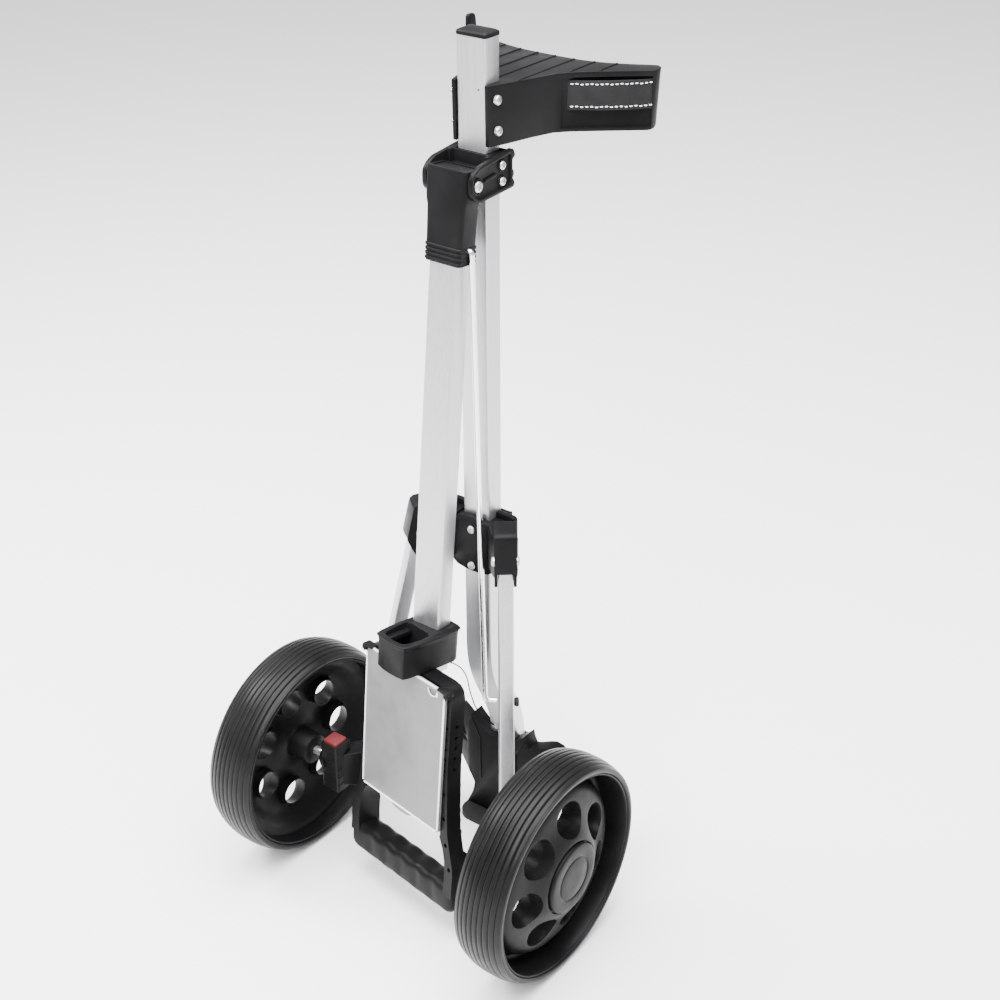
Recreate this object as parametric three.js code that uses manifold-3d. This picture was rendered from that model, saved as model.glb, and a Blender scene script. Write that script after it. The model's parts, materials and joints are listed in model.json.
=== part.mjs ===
// Folding two-wheel golf cart: an offset main tube that carries two bag cradles, a handle
// folded down along it, and two splayed legs with quick-release wheels.
// Millimetres. +X is the cart's right side, +Y the bag side, +Z up. The shapes are laid out
// about the wheel axle line; the last lines move the group so that the origin is the middle
// of the cart's footprint on the ground.
import * as THREE from 'three';
import { mergeVertices } from 'three/addons/utils/BufferGeometryUtils.js';
import Module from 'manifold-3d';

const wasm = await Module();
wasm.setup();

// ---------------------------------------------------------------- driving dimensions
const GAP = 0.35;                        // clearance between touching pieces
const DEG = Math.PI / 180;

const TUBE = { w: 39.5, d: 25.5, wall: 2.2, r: 2.6 };   // rectangular tube section
const TUBE_Y = 139.5;                    // centre of the upper straight length
const TUBE_LOW_Y = 190.5;                // centre of the lower straight length
const TUBE_TOP = 1089;
const TUBE_END = 13;
const BEND_TOP = 322;                    // the offset bend runs between these heights
const BEND_LOW = 122;

const WHEEL = { x: 200, r: 144.5, half: 34, shoulder: 137.5, band: 131.3, holes: 7 };
const AXLE_Z = WHEEL.r;
const AXLE_R = 6;
const BEARING = { r: 11, w: 8, inner: -22, outer: 12 };

const PIVOT = { y: 95, z: 940 };         // handle hinge
const LEAN = 6.25 * DEG;                 // folded handle's lean off the vertical
const HEAD_TURN = 9.9 * DEG;             // grip head's turn on the handle tube
const HEAD_Y = -35;                      // grip head's centre, forward of the handle tube
const HANDLE_LEN = 606;
const SLEEVE = { w: 50, d: 31, top: 16.5, end: -88, pin: 14 };

const LEG = { s: 19.2, wall: 1.8, len: 366, above: 13 };
const LEG_PIN = { x: 67.2, y: 96.5, z: 480 };
const LEG_AZ = 37.4 * DEG;               // plan angle of a leg from the centre plane
const LEG_SPLAY = 12.64 * DEG;
const BLOCK = { x: 140, s: 28, top: 176, low: 104 };

const CRADLE = { z0: 973.5, z1: 1040.5, wall: 4.5, seat: 29 };   // seat: under the bolt heads
const HUB = { z0: 431, z1: 508, x: 30, y0: 117, y1: 162 };
const EAR = { x: 32, t: 3.5 };
const YOKE_SCREW_Z = -566;              // along the handle, from its hinge
const LEG_SCREW_Z = -352;               // along a leg, from its pin
const BUMPER_Z = -182;

// ---------------------------------------------------------------- materials
const paint = (color, roughness, metalness = 0) =>
  new THREE.MeshStandardMaterial({ color, roughness, metalness });
const ALU = paint(0xc4c6c8, 0.35, 0.9);
const STEEL = paint(0xd8dadc, 0.2, 1);
const BLACK = paint(0x1c1c1e, 0.5);
const RUBBER = paint(0x232325, 0.4);
const FABRIC = paint(0x1a1a1a, 0.9);
const RED = paint(0xb04048, 0.45);
const CLEAR = paint(0xb9bbbd, 0.4);

// ---------------------------------------------------------------- solids
function toSolid(geometry) {
  const g = geometry.clone();
  g.deleteAttribute('normal');
  g.deleteAttribute('uv');
  const m = mergeVertices(g, 1e-3);
  return new wasm.Manifold(new wasm.Mesh({
    numProp: 3,
    vertProperties: new Float32Array(m.attributes.position.array),
    triVerts: new Uint32Array(m.index.array),
  }));
}

function toGeometry(solid) {
  const mesh = solid.getMesh();
  const g = new THREE.BufferGeometry();
  g.setAttribute('position', new THREE.BufferAttribute(new Float32Array(mesh.vertProperties), 3));
  g.setIndex(new THREE.BufferAttribute(new Uint32Array(mesh.triVerts), 1));
  return g;
}

const join = (...parts) => parts.map(toSolid).reduce((a, b) => a.add(b));
const cut = (solid, ...tools) => tools.map(toSolid).reduce((a, b) => a.subtract(b), solid);
const asSolid = (part) => (part.isBufferGeometry ? toSolid(part) : part);
const carve = (part, ...tools) => toGeometry(cut(asSolid(part), ...tools));

const box = (x0, x1, y0, y1, z0, z1) =>
  new THREE.BoxGeometry(x1 - x0, y1 - y0, z1 - z0)
    .translate((x0 + x1) / 2, (y0 + y1) / 2, (z0 + z1) / 2);

const AXIS_TURN = {
  x: (g) => g.rotateZ(-Math.PI / 2),
  y: (g) => g,
  z: (g) => g.rotateX(Math.PI / 2),
};

// A cylinder along an axis, from a to b, with its other two coordinates given in x, y, z order.
function rod(axis, r, a, b, p, q, sides = 16) {
  const g = AXIS_TURN[axis](new THREE.CylinderGeometry(r, r, b - a, sides));
  const m = (a + b) / 2;
  const at = { x: [m, p, q], y: [p, m, q], z: [p, q, m] }[axis];
  return g.translate(...at);
}

// A turned piece: profile points are [radius, distance along the axis].
function turned(axis, profile, sides) {
  const pts = profile.map(([r, h]) => new THREE.Vector2(r, h));
  return AXIS_TURN[axis](new THREE.LatheGeometry(pts, sides));
}

const ring = (axis, r0, r1, a, b, sides) =>
  turned(axis, [[r0, a], [r1, a], [r1, b], [r0, b], [r0, a]], sides);

// A through bolt with a round head on both ends.
const bolt = (axis, r, head, a, b, p, q) =>
  toGeometry(join(
    rod(axis, r, a, b, p, q, 10),
    rod(axis, head, a - 3.5, a + 0.001, p, q, 12),
    rod(axis, head, b - 0.001, b + 3.5, p, q, 12),
  ));

// A round wire through a list of points, mitred at each one.
function wire(route, r, sides) {
  const pts = route.map((p) => new THREE.Vector3(...p));
  const along = (i) => pts[i + 1].clone().sub(pts[i]).normalize();
  const last = pts.length - 1;
  let across = new THREE.Vector3(0, 1, 0);
  const vertices = [];
  for (let k = 0; k <= last; k++) {
    const before = along(Math.max(k - 1, 0));
    const after = along(Math.min(k, last - 1));
    const plane = before.clone().add(after).normalize();
    across = across.clone().addScaledVector(before, -across.dot(before)).normalize();
    const other = before.clone().cross(across);
    for (let i = 0; i < sides; i++) {
      const t = i * 2 * Math.PI / sides;
      const spoke = across.clone().multiplyScalar(r * Math.cos(t)).addScaledVector(other, r * Math.sin(t));
      const slide = -spoke.dot(plane) / before.dot(plane);
      vertices.push(...pts[k].clone().add(spoke).addScaledVector(before, slide).toArray());
    }
    across.addScaledVector(after, -across.dot(after)).normalize();
  }
  const faces = [];
  for (let k = 0; k < last; k++) {
    for (let i = 0; i < sides; i++) {
      const [a, b] = [k * sides + i, k * sides + (i + 1) % sides];
      faces.push(a, b, b + sides, a, b + sides, a + sides);
    }
  }
  for (let i = 1; i < sides - 1; i++) {
    faces.push(0, i + 1, i, last * sides, last * sides + i, last * sides + i + 1);
  }
  const g = new THREE.BufferGeometry();
  g.setAttribute('position', new THREE.Float32BufferAttribute(vertices, 3));
  g.setIndex(faces);
  return g;
}

function roundedRect(w, d, r) {
  const s = new THREE.Shape();
  const [x, y] = [w / 2, d / 2];
  s.moveTo(-x + r, -y);
  s.lineTo(x - r, -y);
  s.absarc(x - r, -y + r, r, -Math.PI / 2, 0);
  s.absarc(x - r, y - r, r, 0, Math.PI / 2);
  s.absarc(-x + r, y - r, r, Math.PI / 2, Math.PI);
  s.absarc(-x + r, -y + r, r, Math.PI, Math.PI * 1.5);
  return s;
}

const outline = (points) => new THREE.Shape(points.map(([x, y]) => new THREE.Vector2(x, y)));
const mirrored = (half) => [...half, ...half.map(([x, y]) => [-x, y]).reverse()];

// An outline in plan, raised from z0 to z1.
const slab = (shape, z0, z1, curveSegments = 2) =>
  new THREE.ExtrudeGeometry(shape, { depth: z1 - z0, bevelEnabled: false, curveSegments })
    .translate(0, 0, z0);

// An outline in the X-Z plane, from y0 to y1.
const panel = (shape, y0, y1, curveSegments = 4) =>
  new THREE.ExtrudeGeometry(shape, { depth: y1 - y0, bevelEnabled: false, curveSegments })
    .rotateX(Math.PI / 2).translate(0, y1, 0);

// An outline in the Y-Z plane, from x0 to x1.
const cheek = (shape, x0, x1, curveSegments = 3) =>
  new THREE.ExtrudeGeometry(shape, { depth: x1 - x0, bevelEnabled: false, curveSegments })
    .rotateZ(Math.PI / 2).rotateY(Math.PI / 2).translate(x0, 0, 0);

// ---------------------------------------------------------------- assembly helper
const cart = new THREE.Group();
function add(name, part, material, parent = cart) {
  const mesh = new THREE.Mesh(part.isBufferGeometry ? part : toGeometry(part), material);
  mesh.name = name;
  parent.add(mesh);
  return mesh;
}

// ---------------------------------------------------------------- main tube
// The centre line runs straight down, eases out towards the bag side and runs down again.
function tubeCentre(z) {
  const k = THREE.MathUtils.clamp((BEND_TOP - z) / (BEND_TOP - BEND_LOW), 0, 1);
  const ease = k * k * k * (k * (6 * k - 15) + 10);
  return TUBE_Y + (TUBE_LOW_Y - TUBE_Y) * ease;
}

// A tube that follows the centre line, built from plan sections stacked up its height.
function sweptTube(w, d, r, low, high, corner = 2) {
  const ringPoints = roundedRect(w, d, r).getPoints(corner).slice(0, -1);
  const bendStep = (BEND_TOP - BEND_LOW) / 12;
  const heights = [low];
  for (let z = BEND_LOW; z <= BEND_TOP + 1e-6; z += bendStep) heights.push(z);
  heights.push(high);
  const n = ringPoints.length;
  const vertices = heights.flatMap((z) => {
    const slope = (tubeCentre(z + 1) - tubeCentre(z - 1)) / 2;
    const stretch = Math.hypot(1, slope);
    return ringPoints.flatMap((p) => [p.x, tubeCentre(z) + p.y * stretch, z]);
  });
  const faces = [];
  for (let k = 0; k < heights.length - 1; k++) {
    for (let i = 0; i < n; i++) {
      const [a, b] = [k * n + i, k * n + (i + 1) % n];
      faces.push(a, b, b + n, a, b + n, a + n);
    }
  }
  const top = (heights.length - 1) * n;
  for (let i = 1; i < n - 1; i++) faces.push(0, i + 1, i, top, top + i, top + i + 1);
  const g = new THREE.BufferGeometry();
  g.setAttribute('position', new THREE.Float32BufferAttribute(vertices, 3));
  g.setIndex(faces);
  return g;
}

const BOLTS = {
  cradle: [{ y: 135, z: 1024.5 }, { y: 136, z: 990.5 }],
  hinge: [{ y: 138, z: 952.5 }, { y: 138, z: 934.5 }],
  hub: [{ z: 491 }, { z: 440 }],
  lower: [{ y: 190.5, z: 112 }, { y: 190.5, z: 56 }],
};
const FOOT = { w: 108, d: 68, y: 176 };
const BOLT_R = 3;
const HOLE_R = BOLT_R + GAP;

function mainTube() {
  const inner = TUBE.wall * 2;
  const hollow = sweptTube(TUBE.w - inner, TUBE.d - inner, TUBE.r - TUBE.wall, -5, TUBE_TOP + 5, 1);
  const across = [...BOLTS.cradle, ...BOLTS.hinge, ...BOLTS.lower]
    .map((b) => rod('x', HOLE_R, -40, 40, b.y, b.z, 12));
  const through = BOLTS.hub.map((b) => rod('y', HOLE_R, 100, 180, 0, b.z, 12));
  return carve(sweptTube(TUBE.w, TUBE.d, TUBE.r, TUBE_END, TUBE_TOP), hollow, ...across, ...through);
}
add('main_tube', mainTube(), ALU);

function topCap() {
  const lid = slab(roundedRect(TUBE.w + 2, TUBE.d + 2, TUBE.r + 1), TUBE_TOP + GAP, TUBE_TOP + 5);
  const crown = slab(roundedRect(TUBE.w - 6, TUBE.d - 6, 5), TUBE_TOP + 4.9, TUBE_TOP + 8);
  const plugW = TUBE.w - 2 * TUBE.wall - 2 * GAP;
  const plugD = TUBE.d - 2 * TUBE.wall - 2 * GAP;
  const plug = slab(roundedRect(plugW, plugD, 5), TUBE_TOP - 18, TUBE_TOP + 1);
  return toGeometry(join(lid, crown, plug)).translate(0, TUBE_Y, 0);
}
add('top_cap', topCap(), BLACK);

// ---------------------------------------------------------------- upper bag cradle
const HORN_BACK = [[30, 140], [47, 185], [58, 215], [88, 243], [133, 281]];
const HORN_TIP = [[134, 290], [125, 302]];
const BAG_SIDE = [[90, 284], [62, 273.5], [30, 269]];

function upperCradle() {
  const half = [[24.8, 124.5], ...HORN_BACK, ...HORN_TIP, ...BAG_SIDE];
  const body = toSolid(slab(outline(mirrored(half)), CRADLE.z0, CRADLE.z1));
  const hollow = [[24, 159], [36, 165], [42.5, 186], [54, 218], [84, 245.5], [124, 280], [122, 293],
    [90, 278], [62, 268], [30, 264]];
  const pocket = slab(outline(mirrored(hollow)), CRADLE.z0 - 1, CRADLE.z1 - CRADLE.wall);
  const slot = TUBE.w / 2 + GAP;
  const tubeSlot = box(-slot, slot, 100, TUBE_Y + TUBE.d / 2 + GAP, CRADLE.z0 - 1, CRADLE.z1 + 1);
  const holes = BOLTS.cradle.flatMap((b) => [
    rod('x', HOLE_R, -60, 60, b.y, b.z, 12),
    rod('x', 6.4, -60, -CRADLE.seat, b.y, b.z, 14),
    rod('x', 6.4, CRADLE.seat, 60, b.y, b.z, 14),
  ]);
  const ribX = [12, 37, 62, 86];
  const ribTool = toSolid(slab(outline(mirrored([[20, 166], [46, 196], [57, 221], [88, 249],
    [118, 286], [90, 282], [62, 271.5], [30, 267]])), CRADLE.z1 - 1, CRADLE.z1 + 1.2));
  const ribs = [...ribX, ...ribX.map((x) => -x)]
    .map((x) => toSolid(box(x - 0.9, x + 0.9, 150, 310, CRADLE.z1 - 1, CRADLE.z1 + 1.2)))
    .reduce((a, b) => a.add(b)).intersect(ribTool);
  return cut(body, pocket, tubeSlot, ...holes).add(ribs);
}
add('upper_cradle', upperCradle(), BLACK);
BOLTS.cradle.forEach((b, i) => {
  const half = CRADLE.seat + GAP;
  add(`upper_cradle_bolt_${i + 1}`, bolt('x', BOLT_R, 5.5, -half, half, b.y, b.z), STEEL);
});

// Webbing wrapped on the back of each horn.
function hornStrap(side) {
  const [a, b] = [[90, 244.7], [129, 277.6]];
  const [dx, dy] = [b[0] - a[0], b[1] - a[1]];
  const len = Math.hypot(dx, dy);
  const out = (d) => [dy / len * d, -dx / len * d];
  const [near, far] = [out(GAP), out(3)];
  const low = [66.3, 222.1];
  const lowOut = [low[0] + 1.9, low[1] - 2];
  const pts = [low, [a[0] + near[0], a[1] + near[1]], [b[0] + near[0], b[1] + near[1]],
    [b[0] + far[0], b[1] + far[1]], [a[0] + far[0], a[1] + far[1]], lowOut]
    .map(([x, y]) => [x * side, y]);
  return slab(outline(pts), 998, 1031);
}
add('horn_strap_right', hornStrap(1), FABRIC);
add('horn_strap_left', hornStrap(-1), FABRIC);
add('strap_hook', box(-131, -126, 284, 301, CRADLE.z1 + GAP, 1062), BLACK);

// ---------------------------------------------------------------- handle hinge bracket
function hingeBracket() {
  const z = [921, 927, 966];
  const earShape = () => {
    const s = new THREE.Shape();
    s.moveTo(157, z[1]);
    s.lineTo(157, z[2]);
    s.lineTo(PIVOT.y, PIVOT.z + 20);
    s.absarc(PIVOT.y, PIVOT.z, 20, Math.PI / 2, Math.PI * 1.5);
    return s;
  };
  const flange = (x0, x1, y, h) => {
    const s = outline([[96, h], [y, h + 6], [y, h + 9], [96, h + 3]]);
    return cheek(s, x0, x1);
  };
  const parts = [box(-EAR.x + 1, EAR.x - 1, 119, 156, 927, 965)];
  for (const side of [-1, 1]) {
    const [a, b] = [side * (EAR.x - EAR.t), side * EAR.x].sort((p, q) => p - q);
    const [c, d] = [side * (EAR.x - 1), side * (EAR.x + 2.5)].sort((p, q) => p - q);
    parts.push(cheek(earShape(), a, b, 10));
    parts.push(flange(c, d, 161, z[0] - 1), flange(c, d, 160, z[2] - 9));
    parts.push(box(Math.min(c, d), Math.max(c, d), 108, 128, 942, 944.5));
  }
  const [hw, hd] = [TUBE.w / 2 + GAP, TUBE.d / 2 + GAP];
  return cut(join(...parts),
    box(-hw, hw, TUBE_Y - hd, TUBE_Y + hd, 900, 990),
    rod('x', 4 + GAP, -50, 50, PIVOT.y, PIVOT.z),
    ...BOLTS.hinge.map((b) => rod('x', HOLE_R, -50, 50, b.y, b.z, 12)));
}
add('hinge_bracket', hingeBracket(), BLACK);
BOLTS.hinge.forEach((b, i) => {
  const half = EAR.x + GAP;
  add(`hinge_bracket_bolt_${i + 1}`, bolt('x', BOLT_R, 5, -half, half, b.y, b.z), STEEL);
});
add('handle_pivot_pin', bolt('x', 4, 6.5, -EAR.x - GAP, EAR.x + GAP, PIVOT.y, PIVOT.z), STEEL);

// ---------------------------------------------------------------- legs, in a frame per side
// In a leg's own frame the pin runs along X, the leg hangs down -Z and -Y is its outer face.
function legFrame(side) {
  const spot = new THREE.Group();
  spot.position.set(side * LEG_PIN.x, LEG_PIN.y, LEG_PIN.z);
  spot.rotation.set(0, 0, side * LEG_AZ);
  const tilt = new THREE.Group();
  tilt.rotation.set(-LEG_SPLAY, 0, 0);
  spot.add(tilt);
  cart.add(spot);
  spot.updateWorldMatrix(true, true);
  return tilt;
}
const placed = (geometry, frame) => geometry.clone().applyMatrix4(frame.matrixWorld);
const legFrames = { right: legFrame(1), left: legFrame(-1) };
const sides = [['right', 1], ['left', -1]];
const halfLeg = LEG.s / 2;

// ---------------------------------------------------------------- hub clamp
function socket(frame) {
  const [inner, outer] = [halfLeg + GAP, halfLeg + 4];
  const [front, face] = [-12.9, -15.6];
  const cheeks = [[-outer, -inner], [inner, outer]].map(([a, b]) => {
    const s = outline([[face, 37], [14, 47], [14, -4], [8, -33], [-2, -33], [face, -12]]);
    return cheek(s, a, b);
  });
  const plate = box(-outer, outer, face, front, -12, 38);
  const roof = cheek(outline([[face, 33], [14, 43], [14, 47], [face, 37]]), -outer, outer);
  return [...cheeks, plate, roof].map((g) => placed(g, frame));
}

function hubFront() {
  const wing = [[24, 117.5], [46.5, 99], [50, 96], [73, 114], [50, 139.2], [24, 139.2]];
  const parts = [box(-HUB.x, HUB.x, HUB.y0, 139.2, HUB.z0, HUB.z1)];
  const tools = [];
  for (const [name, side] of sides) {
    const wingShape = outline(wing.map(([x, y]) => [x * side, y]));
    parts.push(slab(wingShape, 446, 507));
    parts.push(...socket(legFrames[name]));
    // room for the leg to swing, and the pin's hole
    tools.push(placed(box(-halfLeg - GAP, halfLeg + GAP, -12.9, 22, -140, 32), legFrames[name]));
    tools.push(placed(rod('x', 4 + GAP, -30, 30, 0, 0, 14), legFrames[name]));
  }
  const [hw, hd] = [TUBE.w / 2 + GAP, TUBE.d / 2 + GAP];
  return cut(join(...parts), ...tools,
    box(-hw, hw, TUBE_Y - hd, TUBE_Y + hd, 400, 560),
    ...BOLTS.hub.map((b) => rod('y', HOLE_R, 100, 180, 0, b.z, 12)));
}
add('hub_front', hubFront(), BLACK);

function hubRear() {
  const [hw, hd] = [TUBE.w / 2 + GAP, TUBE.d / 2 + GAP];
  const body = join(
    box(-HUB.x, HUB.x, 139.8, HUB.y1, HUB.z0, HUB.z1),
    box(-48, 48, 139.8, 148, 452, 512),
  );
  return cut(body, box(-hw, hw, 120, TUBE_Y + hd, 400, 560),
    ...BOLTS.hub.map((b) => rod('y', HOLE_R, 100, 180, 0, b.z, 12)));
}
add('hub_rear', hubRear(), BLACK);
BOLTS.hub.forEach((b, i) => {
  const ends = [HUB.y0 - GAP, HUB.y1 + GAP];
  add(`hub_screw_${i + 1}`, bolt('y', BOLT_R, 5.5, ends[0], ends[1], 0, b.z), STEEL);
});

// ---------------------------------------------------------------- lower bag cradle and foot
function lowerCradle() {
  const plan = mirrored([[16, 168], [50, 168], [74, 176], [97, 190], [95, 208], [72, 196], [48, 190], [16, 190]]);
  const front = mirrored([[19, 142], [30, 150], [44, 163], [50, 144], [62, 148], [75, 152], [85, 146], [93, 128], [93, 112],
    [80, 92], [63, 76], [50, 61], [41, 47], [45, 28], [54, 8.3]]);
  const arms = toSolid(slab(outline(plan), 8.3, 190)).intersect(toSolid(panel(outline(front), 150, 240)));
  const stem = box(-26, 26, 172, 210, 34, 134);
  const windows = [-1, 1].map((s) => panel(outline([[51 * s, 111], [84 * s, 130], [85 * s, 103]]), 150, 250));
  const bend = sweptTube(TUBE.w + 2 * GAP, TUBE.d + 2 * GAP, TUBE.r, TUBE_END - 2, 330);
  return cut(arms.add(toSolid(stem)), ...windows, bend,
    box(-TUBE.w / 2 - GAP, TUBE.w / 2 + GAP, 140, 174, 136, 200),
    ...BOLTS.lower.map((b) => rod('x', HOLE_R, -60, 60, b.y, b.z, 12)),
    ...BOLTS.lower.flatMap((b) => [-1, 1].map((s) => {
      const [a, c] = [26 * s, 120 * s].sort((p, q) => p - q);
      return rod('x', 7, a, c, b.y, b.z, 16);
    })));
}
add('lower_cradle', lowerCradle(), BLACK);
BOLTS.lower.forEach((b, i) => {
  add(`lower_cradle_bolt_${i + 1}`, bolt('x', BOLT_R, 5.5, -26 - GAP, 26 + GAP, b.y, b.z), STEEL);
});
add('foot_pad', slab(roundedRect(FOOT.w, FOOT.d, 20), 0, 8).translate(0, FOOT.y, 0), RUBBER);

// ---------------------------------------------------------------- tether cord
const CORD_R = 0.9;
const CORD_ROUTE = [[-7, 168.5, 159], [-10, 163.5, 166], [-14, 155, 178], [-20, 147, 194], [-27, 148, 206],
  [-35, 152, 216], [-43, 157, 228], [-52, 157, 239], [-62, 152, 246], [-74, 147, 247],
  [-85, 143, 240], [-92, 146, 226], [-95, 155, 209], [-94, 168, 192], [-91, 178, 177],
  [-87, 185, 166], [-84, 189, 156]];

function tetherCord() {
  const path = new THREE.CatmullRomCurve3(CORD_ROUTE.map((p) => new THREE.Vector3(...p)));
  const s = new THREE.Shape();
  s.absarc(0, 0, CORD_R, 0, Math.PI * 2);
  return new THREE.ExtrudeGeometry(s, { steps: 48, curveSegments: 4, extrudePath: path });
}
add('tether_cord', tetherCord(), RUBBER);

// A crimp sits on each end of the cord and points along it.
function crimp(end, next) {
  const dir = new THREE.Vector3(...end).sub(new THREE.Vector3(...next)).normalize();
  const turn = new THREE.Quaternion().setFromUnitVectors(new THREE.Vector3(0, 1, 0), dir);
  const centre = new THREE.Vector3(...end).addScaledVector(dir, 3.5 + GAP);
  return new THREE.CylinderGeometry(2, 2, 7, 12).applyQuaternion(turn)
    .translate(centre.x, centre.y, centre.z);
}
add('cord_crimp_right', crimp(CORD_ROUTE[0], CORD_ROUTE[1]), STEEL);
add('cord_crimp_left', crimp(CORD_ROUTE.at(-1), CORD_ROUTE.at(-2)), STEEL);

// ---------------------------------------------------------------- handle
// In the handle's frame the hinge is the origin and the tube hangs down -Z.
const handle = new THREE.Group();
handle.position.set(0, PIVOT.y, PIVOT.z);
handle.rotation.set(-LEAN, 0, 0);
cart.add(handle);

const HOOK = { z: -72.5, x: 29, r: 3.4 };   // where the stay rod hangs on the sleeve

function handleSleeve() {
  const knuckle = join(
    rod('x', 16.4, -EAR.x + EAR.t + GAP, EAR.x - EAR.t - GAP, 0, 0, 24),
    box(-EAR.x + EAR.t + GAP, EAR.x - EAR.t - GAP, -15.5, 13, 0, SLEEVE.top),
    slab(roundedRect(2 * (EAR.x - EAR.t - GAP), SLEEVE.d, 5), -22, 0),
    slab(roundedRect(SLEEVE.w, SLEEVE.d, 6), SLEEVE.end, -20),
    ...[-73, -79, -85].map((z) => slab(roundedRect(SLEEVE.w + 2.4, SLEEVE.d + 2.4, 7), z - 1.3, z + 1.3)),
  );
  const [w, d] = [TUBE.w + 2 * GAP, TUBE.d + 2 * GAP];
  return cut(knuckle,
    slab(roundedRect(w, d, TUBE.r), SLEEVE.end - 5, -25),
    rod('x', 4 + GAP, -50, 50, 0, 0),
    rod('x', HOOK.r + GAP, 10, 40, 0, HOOK.z, 14),
    box(HOOK.x - HOOK.r - GAP, 40, -20, 20, SLEEVE.end - 5, -62),
    rod('y', 2.5 + GAP, -SLEEVE.pin - GAP, SLEEVE.pin + GAP, 0, -50, 12));
}
add('handle_sleeve', handleSleeve(), BLACK, handle);
add('sleeve_pin', rod('y', 2.5, -SLEEVE.pin, SLEEVE.pin, 0, -50, 12), STEEL, handle);

function handleTube() {
  const inner = TUBE.wall * 2;
  const skin = slab(roundedRect(TUBE.w, TUBE.d, TUBE.r), -HANDLE_LEN, -26, 2);
  const hollow = slab(roundedRect(TUBE.w - inner, TUBE.d - inner, TUBE.r - TUBE.wall), -HANDLE_LEN - 5, 0, 1);
  return carve(skin, hollow, rod('y', 2.5 + GAP, -40, 40, 0, -50, 12),
    rod('y', 2.5 + GAP, -40, 40, 0, YOKE_SCREW_Z, 12));
}

// ---------------------------------------------------------------- grip head
const head = new THREE.Group();
head.position.set(0, HEAD_Y, 0);
head.rotation.set(0, 0, -HEAD_TURN);
handle.add(head);
const tubeInHead = (g) => g.clone().translate(0, -HEAD_Y, 0).rotateZ(HEAD_TURN);
add('handle_tube', handleTube(), ALU, handle);

function yoke() {
  const s = new THREE.Shape();
  s.moveTo(-23, -35);
  s.quadraticCurveTo(0, -40, 23, -35);
  s.lineTo(27, 0);
  s.lineTo(27, 47);
  s.lineTo(22, 54);
  s.lineTo(-26, 54);
  s.lineTo(-27, 0);
  const rim = slab(outline([[-25, -37], [25, -37], [29, 0], [29, 49], [24, 56], [-28, 56], [-29, 0]]), -547, -543);
  const [w, d] = [TUBE.w + 2 * GAP, TUBE.d + 2 * GAP];
  return cut(join(slab(s, -588, -544), rim),
    slab(outline([[-18, -30], [18, -30], [22, -4], [20, 12], [-24, 12], [-22, -4]]), -575, -540),
    tubeInHead(slab(roundedRect(w, d, TUBE.r), -620, -500, 2)),
    tubeInHead(rod('y', 2.5 + GAP, -40, 60, 0, YOKE_SCREW_Z, 12)));
}
add('head_yoke', yoke(), BLACK, head);
add('yoke_screw', bolt('y', 2.5, 4, -24.2, 20.9, 0, YOKE_SCREW_Z), STEEL, handle);

const FRAME = { top: -588.4, low: -908, y0: -5, y1: 17.5, gripY: 30, wTop: 79, wLow: 98 };

function gripFrame() {
  const { top, low, y0, y1, gripY, wTop, wLow } = FRAME;
  const bowl = [[wLow - 10, low], [wLow - 3, low + 3], [wLow, low + 10], [wLow, -838]];
  const body = toSolid(panel(outline(mirrored([...bowl, [wLow - 13, -790], [wTop, -700],
    [wTop, top - 20], [wTop - 5, top - 5], [wTop - 16, top]])), y0, y1));
  const grip = toSolid(panel(outline(mirrored([...bowl, [wLow - 2, -826], [60, -826]])), y1 - 1, gripY));
  const tray = panel(outline([[-68, -604], [68, -604], [72, -800], [-72, -800]].reverse()), y0 - 1, 8);
  const opening = mirrored([[62, -866], [80, -859], [83, -842], [78, -814], [62, -790], [38, -776]]);
  return cut(body.add(grip), tray, panel(outline(opening), -20, 50));
}
add('grip_frame', gripFrame(), BLACK, head);

// ---------------------------------------------------------------- scorecard holder
const CARD = { w: 72.7, top: -589, low: -791, hinge: -593, y: -7.4 };
function cardBack() {
  return join(
    box(-CARD.w, CARD.w, CARD.y, CARD.y + 2, CARD.low, CARD.top - 8),
    box(-60, 60, CARD.y + 1.5, 7.6, -640, -612),
  );
}
add('card_back_plate', cardBack(), CLEAR, head);
const COVER_T = 1.8;
function cardCover() {
  const y = CARD.y - GAP;
  const plate = join(
    box(-CARD.w, CARD.w, y - COVER_T, y, CARD.low, CARD.hinge),
    box(CARD.w - 3, CARD.w, y - COVER_T - 1.2, y, CARD.low + 2, CARD.hinge - 6),
    rod('x', 2.4, -CARD.w, CARD.w, y - 0.9, CARD.hinge, 12),
  );
  return cut(plate, rod('y', 7, y - 10, y + 10, 50, CARD.hinge - 12, 14),
    rod('x', 1.2 + GAP, -90, 90, y - 0.9, CARD.hinge, 10));
}
add('card_cover', cardCover(), CLEAR, head);
add('card_hinge_pin', rod('x', 1.2, -CARD.w - 5, CARD.w + 5, CARD.y - GAP - 0.9, CARD.hinge, 10), STEEL, head);

// ---------------------------------------------------------------- stay rod
const hookPoint = new THREE.Vector3(0, 0, HOOK.z).applyAxisAngle(new THREE.Vector3(1, 0, 0), -LEAN)
  .add(handle.position);
function stayRod() {
  const { y, z } = hookPoint;
  const low = [HOOK.x, 103, 256];
  const route = [[20.3, y, z], [25, y, z], [28, y + 0.1, z - 1.2], [HOOK.x, y + 0.2, z - 5],
    [HOOK.x, y + 1, z - 30], [HOOK.x, 95, 560], [HOOK.x, low[1], low[2] + 9],
    [HOOK.x + 0.8, low[1] + 0.6, low[2] + 3], [HOOK.x + 4, low[1] + 2.4, low[2]],
    [HOOK.x + 13, low[1] + 7.8, low[2]]];
  return wire(route, HOOK.r, 10);
}
add('stay_rod', stayRod(), STEEL);

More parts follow.
